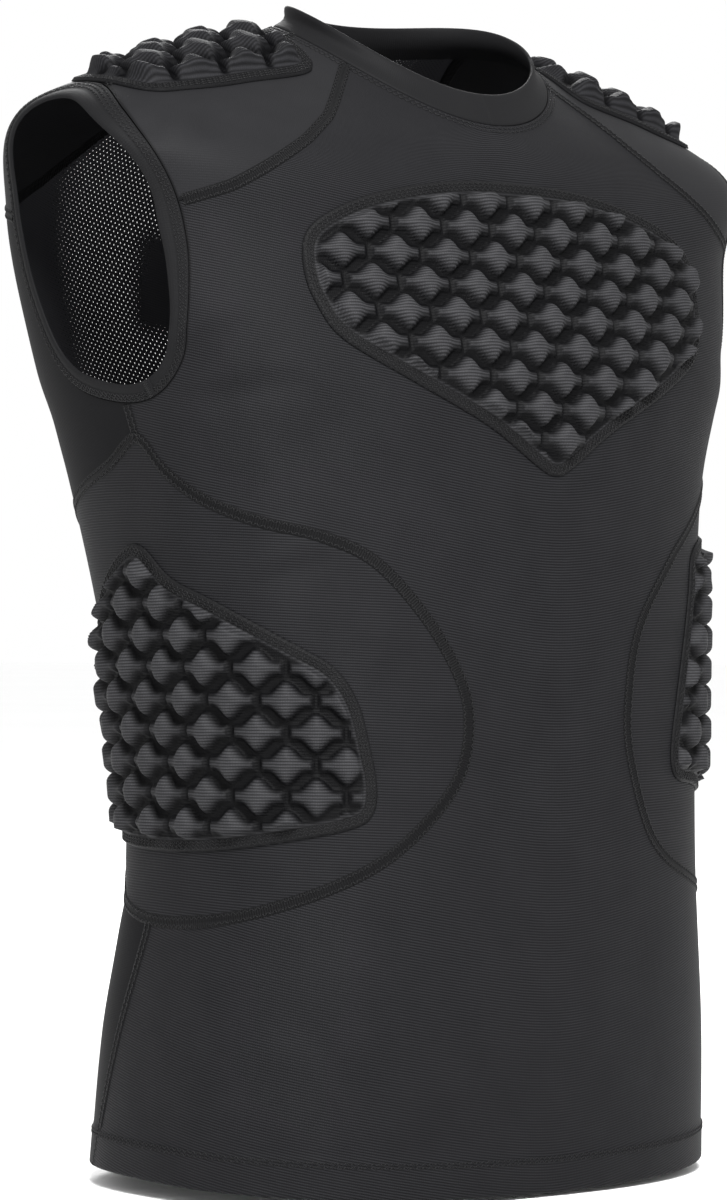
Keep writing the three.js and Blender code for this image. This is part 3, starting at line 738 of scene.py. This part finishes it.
inPatch = insideBy(patchCorners, backPoints[:, 0], backPoints[:, 2])
backSeams = seamDistance(backPlaces, *bodySeams)
holes = smoothstep(0, perforation["fade"], fromSide) * smoothstep(*perforation["patchFade"], inPatch)
holes = holes * smoothstep(*perforation["seamFade"], backSeams)
holes = holes * smoothstep(*perforation["hemFade"], aboveHem(backPlaces))
holes = holes * smoothstep(*perforation["collarFade"], belowCollar(backPlaces))
backPanel = wallPiece("back_panel_knit", backPart, hemFaces(shirt["meshCloth"]), perforatedKnit,
                      {"seam": backSeams, "holes": holes}, **backCloth)
dressNode(backPanel, "back_panel")


def plainFace(out):
    return lambda place: np.full(place.shape[:-1], float(out))


plainFaces = (plainFace(0), plainFace(-shirt["cloth"]))
bothSides = ((-1, "right"), (1, "left"))
yokes, sidePanels = {}, {}
for side, word in bothSides:
    for made, node, material, slotName, lines in (
        (yokes, f"yoke_{word}", smoothKnit, "smooth_knit", (aboveYokeSeam, outsideArmhole)),
        (sidePanels, f"side_panel_{word}", ribbedKnit, "ribbed_knit", (insideSidePanel,)),
    ):
        part = cutPanel(onSide(side), *lines)
        seams = seamDistance(part[0], *lines)
        made[side] = wallPiece(f"{node}_knit", part, plainFaces, material, {"seam": seams})
        dressNode(made[side], node)
print("cloth panels made")


# Folded bands: a rounded section carried round a loop
newton = {"rounds": 40, "small": 1e-4, "longestTurn": 0.2, "longestClimb": 0.3, "highestRing": 8.95}


def solvePlace(axes, targets, start):
    # places whose body point has the wanted x, y or height, by Newton's method in short steps
    place = np.array(start, float)
    small, longestTurn, longestClimb = newton["small"], newton["longestTurn"], newton["longestClimb"]
    for _ in range(newton["rounds"]):
        here = bodyPoint(place)[..., axes]
        byAngle = (bodyPoint(place + [small, 0])[..., axes] - here) / small
        byRing = (bodyPoint(place + [0, small])[..., axes] - here) / small
        det = byAngle[..., 0] * byRing[..., 1] - byRing[..., 0] * byAngle[..., 1]
        miss = targets - here
        turn = (miss[..., 0] * byRing[..., 1] - byRing[..., 0] * miss[..., 1]) / det
        climb = (byAngle[..., 0] * miss[..., 1] - miss[..., 0] * byAngle[..., 1]) / det
        place[..., 0] += np.clip(turn, -longestTurn, longestTurn)
        climbed = place[..., 1] + np.clip(climb, -longestClimb, longestClimb)
        place[..., 1] = np.clip(climbed, 0, newton["highestRing"])
    return place


def bandPiece(name, loop, section, material):
    # loop gives places for each step round and each mm across; section is mm across and mm out
    across, out = np.array(section, float).T
    places = loop(across)
    steps, sides = places.shape[:2]
    points = clothPoint(places, np.broadcast_to(out, (steps, sides))).reshape(-1, 3)
    quads = tubeQuads(steps, sides, closed=True)
    middle = points.reshape(steps, sides, 3)[:, sides // 4] * 1000
    run = np.cumsum(np.linalg.norm(middle - np.roll(middle, 1, axis=0), axis=-1))
    flat = np.stack(np.broadcast_arrays(across[None], run[:, None]), -1).reshape(-1, 2)
    band = makePiece(name, points, quads.tolist(), material, {"seam": np.full(len(points), noSeam)}, flat)
    band.data.flip_normals()
    return band


noSeam = 9.0    # mm from a seam, far enough for its colour not to show
loopSteps = {"collar": 280, "armhole": 240}
# Both sections start with a tongue, 3 mm long, that lies under the panel's edge.
collarSection = [
    (-3, -1.5), (-3, -1.15), (0.1, -1.1), (0.1, -0.2), (0.35, 0.25), (1, 0.45), (3, 0.5), (6, 0.55),
    (10, 0.6), (14, 0.6), (17, 0.6), (18.3, 0.4), (18.9, 0), (19.1, -0.6), (18.9, -1.2), (18.2, -1.6),
    (16, -1.75), (10, -1.75), (4, -1.7), (1, -1.6),
]
collarDepth = 19.1
collarGap = 0.0075    # a seam gap as a share of the ring
bindingSection = [
    (-3, -1.4), (-3, -1.1), (0.15, -1.05), (0.15, -0.2), (0.3, 0.2), (0.6, 0.34), (1.6, 0.38), (3, 0.38),
    (4.2, 0.34), (4.6, 0.22), (5, 0.36), (6.3, 0.55), (7.7, 0.52), (8.5, 0.3), (8.9, -0.1), (9, -0.6),
    (8.85, -1.05), (8.3, -1.3), (5.5, -1.35), (3, -1.35), (1, -1.3),
]


def collarLoop(across):
    angles = np.linspace(0, 2 * math.pi, loopSteps["collar"], endpoint=False)
    low = shirt["collarRing"] + collarGap
    ringNumbers = low + across / collarDepth * (shirt["topRing"] - low)
    return np.stack(np.meshgrid(angles, ringNumbers, indexing="ij"), -1)


def armholePlaces(side, turns, inward):
    # places so many mm inward from the armhole's edge
    underarmRing = 6.2
    reach = armholeReach(turns) - inward
    y = armhole["y"] + reach * np.cos(turns)
    z = armhole["z"] + reach * np.sin(turns)
    start = np.broadcast_to([side * math.pi / 2, underarmRing], (*z.shape, 2))
    return solvePlace([1, 2], np.stack([y, z], -1), start)


def armholeLoop(side):
    turns = np.linspace(0, 2 * math.pi, loopSteps["armhole"], endpoint=False)
    return lambda across: armholePlaces(side, turns[:, None], across[None])


collar = bandPiece("collar_band", collarLoop, collarSection, foldedTrim)
dressNode(collar, "collar")
bindings = {}
for side, word in bothSides:
    bindings[side] = bandPiece(f"armhole_binding_{word}_band", armholeLoop(side), bindingSection, foldedTrim)
    if side > 0:    # the loop runs the other way round the cloth here
        bindings[side].data.flip_normals()
    dressNode(bindings[side], f"armhole_binding_{word}")
print("collar and bindings made")


# Pads
def mirroredEdge(half):
    return half + [(-u, v) for u, v in half[-2:0:-1]]


bumpForm = {
    "tabEnd": 0.91, "diamondEnd": 0.66,     # as shares of half the pitch across
    "diamondShare": 0.62,                   # half height of the diamond as a share of the pitch up
    "tabHalfHeight": 3.8, "tabLevel": 0.6,  # tabLevel is a share of the bump's height
    "levelEnd": 0.85,                       # where the crown has sunk to it, a share of half the pitch
    "domeShare": 0.4,                       # width of the rounded flanks as a share of the pitch up
    "fullness": 0.75, "endSteepness": 1.6,
    "edgeSlope": 2.2,                       # mm in from the margin over which the bumps rise
}
padForm = {
    "lift": 0.25, "base": 1.5, "margin": 6.3,
    "steps": 13,                            # grid steps for each bump
    "roundness": 1.6, "edgeHeight": 0.12,   # edgeHeight is a share of the base squared
    # The valleys between the bumps are darkened as painted shade between these two shares.
    "paintedShadeHeights": (0.75, 0.15),          # shares of the bump's height where the shade starts and is full
}
chestPadForm = {
    **bumpForm,
    "edge": mirroredEdge([(0, 507), (45, 505), (90, 496.5), (118, 486), (133, 474), (136, 455), (132, 438),
                          (121, 422), (88, 404), (42, 382), (12, 363), (0, 358.5)]),
    "acrossStart": 5, "upStart": 376.9, "pitchAcross": 30.3, "pitchUp": 14.9, "bumpHeight": 7.2,
}
ribPadForm = {
    **bumpForm,
    "acrossStart": 136.9, "upStart": 198.4, "pitchAcross": 28.4, "pitchUp": 15.7, "bumpHeight": 7.2,
}
ribPadEdges = {
    -1: [(238, 321), (216, 305), (188, 293.5), (145, 272), (127, 261), (116.5, 245), (111, 224), (107.5, 203),
         (110, 190), (120, 183.5), (147, 177.5), (185, 171.5), (225, 169), (273, 170.5), (303, 175),
         (318, 188), (321, 215), (317, 245), (304, 272), (282, 297), (258, 316)],
    1: [(232, 330), (190, 333), (152, 330), (127, 321), (116, 294), (104.5, 266), (97, 246), (90, 224),
        (90, 211), (98, 204.5), (119, 202), (150, 197), (185, 190), (225, 184), (273, 181), (303, 184),
        (318, 196), (321, 220), (317, 247), (304, 275), (282, 301), (258, 321)],
}
shoulderPadForm = {
    **bumpForm, "tabHalfHeight": 6, "tabLevel": 0.72, "domeShare": 0.38, "fullness": 0.62,
    "edgeSlope": 4.5,
    "edge": [(86, -12), (90, -22), (99, -26.5), (128, -27.5), (147, -28.5), (166, -29), (181, -29),
             (190, -23), (194, -9), (194, 9), (190, 27), (181, 39), (162, 48), (130, 52), (103, 48),
             (90, 38), (84, 20)],
    "acrossStart": 102.5, "upStart": -19, "pitchAcross": 26.4, "pitchUp": 19, "bumpHeight": 8.6,
}
shoulderBend = {"from": 100, "rate": 0.0022}    # the rows curve back towards the arm

# Angle by mm round the body at each height, for the chest and rib pads
angleMap = {"heightStep": 2.5, "runStep": 2.0, "highestRing": 8.6, "halvings": 28}
sectionHeights = np.arange(150, 525, angleMap["heightStep"])
sectionAngles = np.radians(np.arange(0, 180.1, 2.5))
sectionRuns = np.arange(0, 420, angleMap["runStep"])


def ringAtHeight(angle, z):
    low, high = np.zeros_like(z), np.full_like(z, angleMap["highestRing"])
    for _ in range(angleMap["halvings"]):
        middle = (low + high) / 2
        under = bodyPoint(np.stack([angle, middle], -1))[..., 2] < z
        low, high = np.where(under, middle, low), np.where(under, high, middle)
    return (low + high) / 2


sectionGrid = np.stack(np.meshgrid(sectionAngles, sectionHeights), -1)
sectionPlaces = np.stack([sectionGrid[..., 0], ringAtHeight(sectionGrid[..., 0], sectionGrid[..., 1])], -1)
sectionLengths = lengthsAlong(bodyPoint(sectionPlaces), 1)
angleTable = np.stack([np.interp(sectionRuns, lengths, sectionAngles) for lengths in sectionLengths])


def placeRoundBody(u, z):
    # the place so many mm round from the centre front, at a height
    x = np.clip(np.abs(u) / angleMap["runStep"], 0, len(sectionRuns) - 1.001)
    y = np.clip((z - sectionHeights[0]) / angleMap["heightStep"], 0, len(sectionHeights) - 1.001)
    angle = readTable(angleTable, x, y) * np.sign(u)
    return np.stack([angle, ringAtHeight(angle, z)], -1)


def placeInPlan(x, straightY):
    # the place on top of the shoulder with this x and y, seen from above
    shoulderRing = 7.8
    y = straightY + shoulderBend["rate"] * np.maximum(np.abs(x) - shoulderBend["from"], 0) ** 2
    start = np.stack([np.sign(x) * math.pi / 2, np.full_like(x, shoulderRing)], -1)
    return solvePlace([0, 1], np.stack([x, y], -1), start)


def bumpShare(form, u, v):
    # rounded diamonds in a brick bond, each with a blunt tab to either side, domed from the outline in
    share = np.zeros_like(u)
    row = np.round((v - form["upStart"]) / form["pitchUp"])
    halfPitch = form["pitchAcross"] / 2
    full = form["diamondShare"] * form["pitchUp"]
    for near in (-1, 0, 1):
        shift = np.where((row + near) % 2 == 0, 0, halfPitch)
        du = u - form["acrossStart"] - shift
        du = np.abs(du - np.round(du / form["pitchAcross"]) * form["pitchAcross"])
        dv = np.abs(v - form["upStart"] - (row + near) * form["pitchUp"])
        turn = math.pi * np.clip(du / halfPitch / form["diamondEnd"], 0, 1)
        rise = (full - form["tabHalfHeight"]) / 2
        reach = form["tabHalfHeight"] + rise * (1 + np.cos(turn))
        slope = rise * math.pi / halfPitch / form["diamondEnd"] * np.sin(turn)
        fromSide = (reach - dv) / np.hypot(1, slope)
        fromEnd = (form["tabEnd"] * halfPitch - du) * form["endSteepness"]
        inner = np.clip(np.minimum(fromSide, fromEnd) / (form["domeShare"] * form["pitchUp"]), 0, 1)
        crown = 0.5 + 0.5 * np.cos(math.pi * np.clip(du / halfPitch / form["levelEnd"], 0, 1))
        level = form["tabLevel"] + (1 - form["tabLevel"]) * crown
        share = np.maximum(share, level * (1 - (1 - inner) ** 2) ** form["fullness"])
    return share


def padGrid(form, outline):
    stepU, stepV = form["pitchAcross"] / 2 / padForm["steps"], form["pitchUp"] / padForm["steps"]
    low, high = outline.min(0), outline.max(0)
    us = np.arange(low[0] - stepU, high[0] + 2 * stepU, stepU)
    vs = np.arange(low[1] - stepV, high[1] + 2 * stepV, stepV)
    grid = (np.stack(np.meshgrid(us, vs), -1).reshape(-1, 2), gridTriangles(len(us), len(vs)))
    return cut(grid, lambda place: insideBy(outline, place[:, 0], place[:, 1]))


def padHeight(form, outline, place):
    # mm out from the cloth: a thin edge with a rounded rim, then the bumps
    inside = insideBy(outline, place[:, 0], place[:, 1])
    fromRim = 1 - np.clip(inside / padForm["roundness"], 0, 1)
    rounded = padForm["base"] * np.sqrt(np.clip(1 - fromRim ** 2, padForm["edgeHeight"], 1))
    raised = smoothstep(padForm["margin"], padForm["margin"] + form["edgeSlope"], inside)
    return padForm["lift"] + rounded + form["bumpHeight"] * raised * bumpShare(form, *place.T)


stitchedPads = []


def makePad(node, form, placeOn, side, material):
    outline = closedOutline(form["edge"])
    places, triangles = padGrid(form, outline)
    count = len(places)
    inside = insideBy(outline, places[:, 0], places[:, 1])
    onBody = placeOn(side * places[:, 0], places[:, 1])
    outer = clothPoint(onBody, padHeight(form, outline, places))
    inner = clothPoint(onBody, np.full(count, padForm["lift"]))
    faces = wallFaces(triangles, count)
    if side < 0:
        faces = faces[:, ::-1]
    raised = smoothstep(padForm["margin"] - 1, padForm["margin"] + 1, inside)
    # painted shade in the valleys between the bumps, inside the margin
    paintedShade = raised * smoothstep(*padForm["paintedShadeHeights"], bumpShare(form, *places.T))
    pad = makePiece(f"{node}_foam", np.concatenate([outer, inner]), faces.tolist(), material,
                    {"seam": np.tile(inside, 2), "paintedShade": np.tile(paintedShade, 2)},
                    np.tile(places, (2, 1)), sharp=80)
    dressNode(pad, node)
    stitchedPads.append((outline, placeOn, side, (places, triangles)))


makePad("chest_pad", chestPadForm, placeRoundBody, 1, mouldedPad)
for side, word in bothSides:
    makePad(f"rib_pad_{word}", {**ribPadForm, "edge": ribPadEdges[side]}, placeRoundBody, side, mouldedPad)
    makePad(f"shoulder_pad_{word}", shoulderPadForm, placeInPlan, side, shoulderKnitShaded)
print("pads made")


# Stitches: a slanted leg of thread at each step of a row
def stitchTree():
    tree = bpy.data.node_groups.new("Stitch rows", "GeometryNodeTree")
    sockets = tree.interface
    sockets.new_socket("Rows", in_out="INPUT", socket_type="NodeSocketGeometry")
    for name in ("Spacing", "Leg length", "Thread", "Slant"):
        sockets.new_socket(name, in_out="INPUT", socket_type="NodeSocketFloat")
    sockets.new_socket("Thread material", in_out="INPUT", socket_type="NodeSocketMaterial")
    sockets.new_socket("Stitches", in_out="OUTPUT", socket_type="NodeSocketGeometry")
    given = addNode(tree, "NodeGroupInput").outputs
    curve = addNode(tree, "GeometryNodeMeshToCurve", {"Mesh": given["Rows"]}).outputs["Curve"]
    row = addNode(tree, "GeometryNodeResampleCurve", {
        "Curve": curve, "Length": given["Spacing"],
    }, mode="LENGTH")
    out = addNode(tree, "GeometryNodeInputNamedAttribute", {"Name": "out"}, data_type="FLOAT_VECTOR")
    tangent = addNode(tree, "GeometryNodeInputTangent").outputs["Tangent"]
    facing = addNode(tree, "FunctionNodeAlignRotationToVector", {
        "Vector": out.outputs["Attribute"],
    }, axis="Z")
    along = addNode(tree, "FunctionNodeAlignRotationToVector", {
        "Rotation": facing.outputs["Rotation"], "Vector": tangent,
    }, axis="Y", pivot_axis="Z")
    index = addNode(tree, "GeometryNodeInputIndex").outputs["Index"]
    odd = addNode(tree, "ShaderNodeMath", {0: index, 1: 2.0}, operation="MODULO").outputs[0]
    side = addNode(tree, "ShaderNodeMath", {0: odd, 1: 2.0, 2: -1.0}, operation="MULTIPLY_ADD").outputs[0]
    slant = addNode(tree, "ShaderNodeMath", {0: side, 1: given["Slant"]}, operation="MULTIPLY").outputs[0]
    turn = addNode(tree, "FunctionNodeAxisAngleToRotation", {"Axis": (0, 0, 1), "Angle": slant})
    turned = addNode(tree, "FunctionNodeRotateRotation", {
        "Rotation": along.outputs["Rotation"], "Rotate By": turn.outputs["Rotation"],
    }, rotation_space="LOCAL")
    size = addNode(tree, "ShaderNodeCombineXYZ", {
        0: given["Thread"], 1: given["Leg length"], 2: given["Thread"],
    })
    ball = addNode(tree, "GeometryNodeMeshUVSphere", {"Segments": 5, "Rings": 4, "Radius": 0.5})
    rolled = addNode(tree, "GeometryNodeTransform", {
        "Geometry": ball.outputs["Mesh"], "Rotation": (math.pi / 2, 0, 0),
    })
    leg = addNode(tree, "GeometryNodeTransform", {
        "Geometry": rolled.outputs["Geometry"], "Scale": size.outputs[0],
    })
    legs = addNode(tree, "GeometryNodeInstanceOnPoints", {
        "Points": row.outputs["Curve"], "Instance": leg.outputs["Geometry"],
        "Rotation": turned.outputs["Rotation"],
    })
    real = addNode(tree, "GeometryNodeRealizeInstances", {"Geometry": legs.outputs["Instances"]})
    smooth = addNode(tree, "GeometryNodeSetShadeSmooth", {"Geometry": real.outputs["Geometry"]})
    dyed = addNode(tree, "GeometryNodeSetMaterial", {
        "Geometry": smooth.outputs["Geometry"], "Material": given["Thread material"],
    })
    addNode(tree, "NodeGroupOutput", {"Stitches": dyed.outputs["Geometry"]})
    return tree


stitchRows = stitchTree()
# Sizes of the stitches in metres, as the tree takes them
zigzag = {"Spacing": 0.0017, "Leg length": 0.0023, "Thread": 0.00058, "Slant": math.radians(42)}
coverstitch = {**zigzag, "Slant": math.radians(40)}
bartack = {"Spacing": 0.0005, "Leg length": 0.0034, "Thread": 0.0005, "Slant": math.radians(80)}


def makeStitches(name, rows, form):
    # rows are lists of points in metres with the directions out of the cloth
    mesh = bpy.data.meshes.new(name)
    edges, start = [], 0
    for points, _ in rows:
        edges += [(start + i, start + i + 1) for i in range(len(points) - 1)]
        start += len(points)
    mesh.from_pydata(np.concatenate([points for points, _ in rows]).tolist(), edges, [])
    layer = mesh.attributes.new("out", "FLOAT_VECTOR", "POINT")
    layer.data.foreach_set("vector", np.concatenate([out for _, out in rows]).astype(np.float32).ravel())
    carrier = bpy.data.objects.new(name + "_rows", mesh)
    bpy.context.scene.collection.objects.link(carrier)
    modifier = carrier.modifiers.new("Stitch rows", "NODES")
    modifier.node_group = stitchRows
    values = {**form, "Thread material": blackThread}
    for item in stitchRows.interface.items_tree:
        if item.item_type == "SOCKET" and item.in_out == "INPUT" and item.name in values:
            modifier[item.identifier] = values[item.name]
    bpy.context.view_layer.update()
    made = bpy.data.meshes.new_from_object(carrier.evaluated_get(bpy.context.evaluated_depsgraph_get()))
    bpy.data.objects.remove(carrier)
    made.name = name
    stitches = bpy.data.objects.new(name, made)
    bpy.context.scene.collection.objects.link(stitches)
    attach(stitches, "root")
    print(name, len(made.polygons), "faces")


def everywhere(place):
    return np.ones(len(place), bool)


def traceRows(distance, offset, lift, keep=everywhere):
    # rows offset mm beyond a line on the body, to its positive side, and lifted off the cloth
    lines = traceLine(body, lambda place: distance(place) - offset, around=True)
    return [rowOnCloth(line, lift) for line in keptStretches(lines, keep)]


def rowOnCloth(line, lift, step=0.0016):
    # even points along a row with the directions out of the cloth, in metres
    points, out = clothPoint(line, np.full(len(line), lift)), bodyNormal(line)
    run = lengthsAlong(points, 0)
    at = np.linspace(0, run[-1], max(3, round(run[-1] / step)))
    even = [np.stack([np.interp(at, run, column) for column in values.T], -1) for values in (points, out)]
    return even[0], even[1] / np.linalg.norm(even[1], axis=-1, keepdims=True)


def makeTape(name, rows, section, material):
    # bands of a closed section, in mm across and mm out, laid along rows
    across, out = np.array(section, float).T / 1000
    points, faces, flat, start = [], [], [], 0
    for middle, normal in rows:
        closed = np.linalg.norm(middle[0] - middle[-1]) < 0.001
        if closed:
            middle, normal = middle[:-1], normal[:-1]
            tangent = np.roll(middle, -1, axis=0) - np.roll(middle, 1, axis=0)
        else:
            tangent = np.gradient(middle, axis=0)
        sideways = np.cross(normal, tangent)
        sideways /= np.linalg.norm(sideways, axis=-1, keepdims=True)
        steps, sides = len(middle), len(across)
        ring = middle[:, None] + sideways[:, None] * across[:, None] + normal[:, None] * out[:, None]
        faces += (tubeQuads(steps, sides, closed)[:, [0, 3, 2, 1]] + start).tolist()
        if not closed:
            faces.append([start + j for j in range(sides)][::-1])
            faces.append([start + (steps - 1) * sides + j for j in range(sides)])
        points.append(ring.reshape(-1, 3))
        run = lengthsAlong(middle, 0) * 1000
        flat.append(np.stack(np.broadcast_arrays(across[None] * 1000, run[:, None]), -1).reshape(-1, 2))
        start += steps * sides
    points = np.concatenate(points)
    seam = np.full(len(points), noSeam)
    tape = makePiece(name, points, faces, material, {"seam": seam}, np.concatenate(flat))
    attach(tape, "root")


def offArmhole(place):
    return outsideArmhole(place) > 0.5


def onYokeSeam(place):
    x, z = bodyPoint(place)[:, 0], bodyPoint(place)[:, 2]
    return offArmhole(place) & (belowCollar(place) > 0.5) & (np.abs(x) > 50) & (z > 470)


def onSideSeam(place):
    return offArmhole(place) & (insideSidePanel(place) < 0) & (aboveHem(place) > 1)


# Rows are mm from a line, counted inward on the bindings and up from the hem, then mm off the cloth.
stitching = {
    "flatlock": ((-1.75, 1.75), 0.5),
    "binding": ((-1.1, -2.3, -3.5), 0.5),
    "collar": ((1.6, 3.9), 0.15),
    "hem": ((16.2, 18.0), hem["proud"] + 0.15),
    "pad": ((1.7, 3.2, 4.7), padForm["lift"] + padForm["base"] + 0.1),
}
seamLines = [(aboveYokeSeam, onYokeSeam), (insideSidePanel, offArmhole), (inFrontOfSideSeam, onSideSeam)]
tapeSection = [
    (-3.3, -0.15), (-2.9, 0.2), (-1.9, 0.42), (-0.9, 0.36), (0, 0.28), (0.9, 0.36), (1.9, 0.42), (2.9, 0.2),
    (3.3, -0.15), (2.9, -1.2), (1.5, -1.4), (-1.5, -1.4), (-2.9, -1.2),
]
tapeRows = [row for distance, keep in seamLines for row in traceRows(distance, 0, 0, keep)]
makeTape("flatlock_bands", tapeRows, tapeSection, flatlockThread)

offsets, lift = stitching["flatlock"]
seamRows = []
for distance, keep in seamLines:
    for offset in offsets:
        seamRows += traceRows(distance, offset, lift, keep)
makeStitches("flatlock_stitches", seamRows, zigzag)

bandRows = []
for distance, place in ((outsideArmhole, "binding"), (belowCollar, "collar"), (aboveHem, "hem")):
    offsets, lift = stitching[place]
    for offset in offsets:
        bandRows += traceRows(distance, offset, lift)
makeStitches("coverstitches", bandRows, coverstitch)

offsets, lift = stitching["pad"]
padRows = []
for outline, placeOn, side, part in stitchedPads:
    for offset in offsets:
        lines = traceLine(part, lambda place: insideBy(outline, place[:, 0], place[:, 1]) - offset)
        padRows += [rowOnCloth(placeOn(side * line[:, 0], line[:, 1]), lift) for line in lines]
makeStitches("pad_margin_stitches", padRows, zigzag)

# Lap joints at the bottom of the bindings, each held down by a bar of close stitches
lap = {"turn": -112, "from": 0.6, "to": 8.4, "steps": 9, "out": 0.8, "threadOut": 0.0003}
lapSection = [(-2.6, -0.6), (-2.4, 0.0), (-1.6, 0.2), (1.6, 0.2), (2.4, 0.0), (2.6, -0.6)]
lapInward = np.linspace(lap["from"], lap["to"], lap["steps"])
lapRows = [rowOnCloth(armholePlaces(side, math.radians(lap["turn"]), lapInward), lap["out"])
           for side, _ in bothSides]
makeTape("binding_lap_joints", lapRows, lapSection, foldedTrim)
lapThreads = [(points + out * lap["threadOut"], out) for points, out in lapRows]
makeStitches("binding_lap_stitches", lapThreads, bartack)
print("stitches made")

# Stage
def floorMaterial():
    # matt painted studio floor, pale and even with a trace of mottling
    material, tree = newMaterial("Matt studio floor paint, white")
    place = addNode(tree, "ShaderNodeTexCoord").outputs["Object"]
    noise = addNode(tree, "ShaderNodeTexNoise", {"Vector": place, "Scale": 2.0}).outputs["Fac"]
    colour = addNode(tree, "ShaderNodeMix", {
        "Factor": noise, "A": linear("#fbfbfb"), "B": linear("#ffffff"),
    }, data_type="RGBA")
    shader = addNode(tree, "ShaderNodeBsdfPrincipled", {
        "Base Color": colour.outputs["Result"], "Roughness": 0.9,
    })
    addNode(tree, "ShaderNodeOutputMaterial", {"Surface": shader.outputs["BSDF"]})
    return material


stage = {"floorSize": 30, "floorDrop": 0.002, "worldStrength": 1.0, "lampTarget": (0, 0, -0.22)}
bpy.ops.mesh.primitive_plane_add(size=stage["floorSize"], location=(0, 0, 0))
floor = bpy.context.object
floor.name = "floor"
floor.data.transform(Matrix.Translation((0, 0, cadLow.z - stage["floorDrop"])))
floor.data.materials.append(floorMaterial())

world = bpy.data.worlds.new("Studio")
bpy.context.scene.world = world
world.use_nodes = True
background = world.node_tree.nodes["Background"]
background.inputs["Color"].default_value = linear("#ffffff")
background.inputs["Strength"].default_value = stage["worldStrength"]

# The white ground stays white, as in the photograph.
bpy.context.scene.view_settings.view_transform = "Standard"

lamps = {
    "keyLight": {"from": (-1.0, -1.5, 1.3), "size": 0.8, "power": 108},
    "sideLight": {"from": (-2.3, -1.5, -0.1), "size": 0.6, "power": 2},
    "backLight": {"from": (1.6, 2.2, 1.6), "size": 1.2, "power": 60},
}
target = Vector(stage["lampTarget"])
for name, lamp in lamps.items():
    light = bpy.data.lights.new(name, "AREA")
    light.size = lamp["size"]
    light.energy = lamp["power"]
    holder = bpy.data.objects.new(name, light)
    holder.location = lamp["from"]
    holder.rotation_euler = (target - holder.location).to_track_quat("-Z", "Y").to_euler()
    bpy.context.scene.collection.objects.link(holder)

# Camera: fitted to the photograph, whose frame is 727 by 1200 pixels
view = {
    "azimuth": -41, "distance": 2.3, "focalPixels": 4423, "axisPixel": (411, 605), "height": -0.273,
    "roll": 0.8, "frame": (727, 1200), "sensor": 36,
}
azimuth, roll = math.radians(view["azimuth"]), math.radians(view["roll"])
across = Vector((math.cos(azimuth), math.sin(azimuth), 0))
ahead = Vector((-math.sin(azimuth), math.cos(azimuth), 0))
up = Vector((0, 0, 1))
right = across * math.cos(roll) + up * math.sin(roll)
upright = up * math.cos(roll) - across * math.sin(roll)
panX = (view["axisPixel"][0] - view["frame"][0] / 2) / view["focalPixels"]
panY = (view["axisPixel"][1] - view["frame"][1] / 2) / view["focalPixels"]
forward = (ahead - right * panX + upright * panY).normalized()
right = (right - forward * right.dot(forward)).normalized()
upright = right.cross(forward)
camera = bpy.data.objects.new("camera", bpy.data.cameras.new("camera"))
camera.data.sensor_width = view["sensor"]
camera.data.lens = view["sensor"] * view["focalPixels"] / max(view["frame"])
turned = Matrix((right, upright, -forward)).transposed().to_4x4()
camera.matrix_world = Matrix.Translation(ahead * -view["distance"] + up * view["height"]) @ turned
bpy.context.scene.collection.objects.link(camera)
bpy.context.scene.camera = camera
print("stage, lights and camera made")
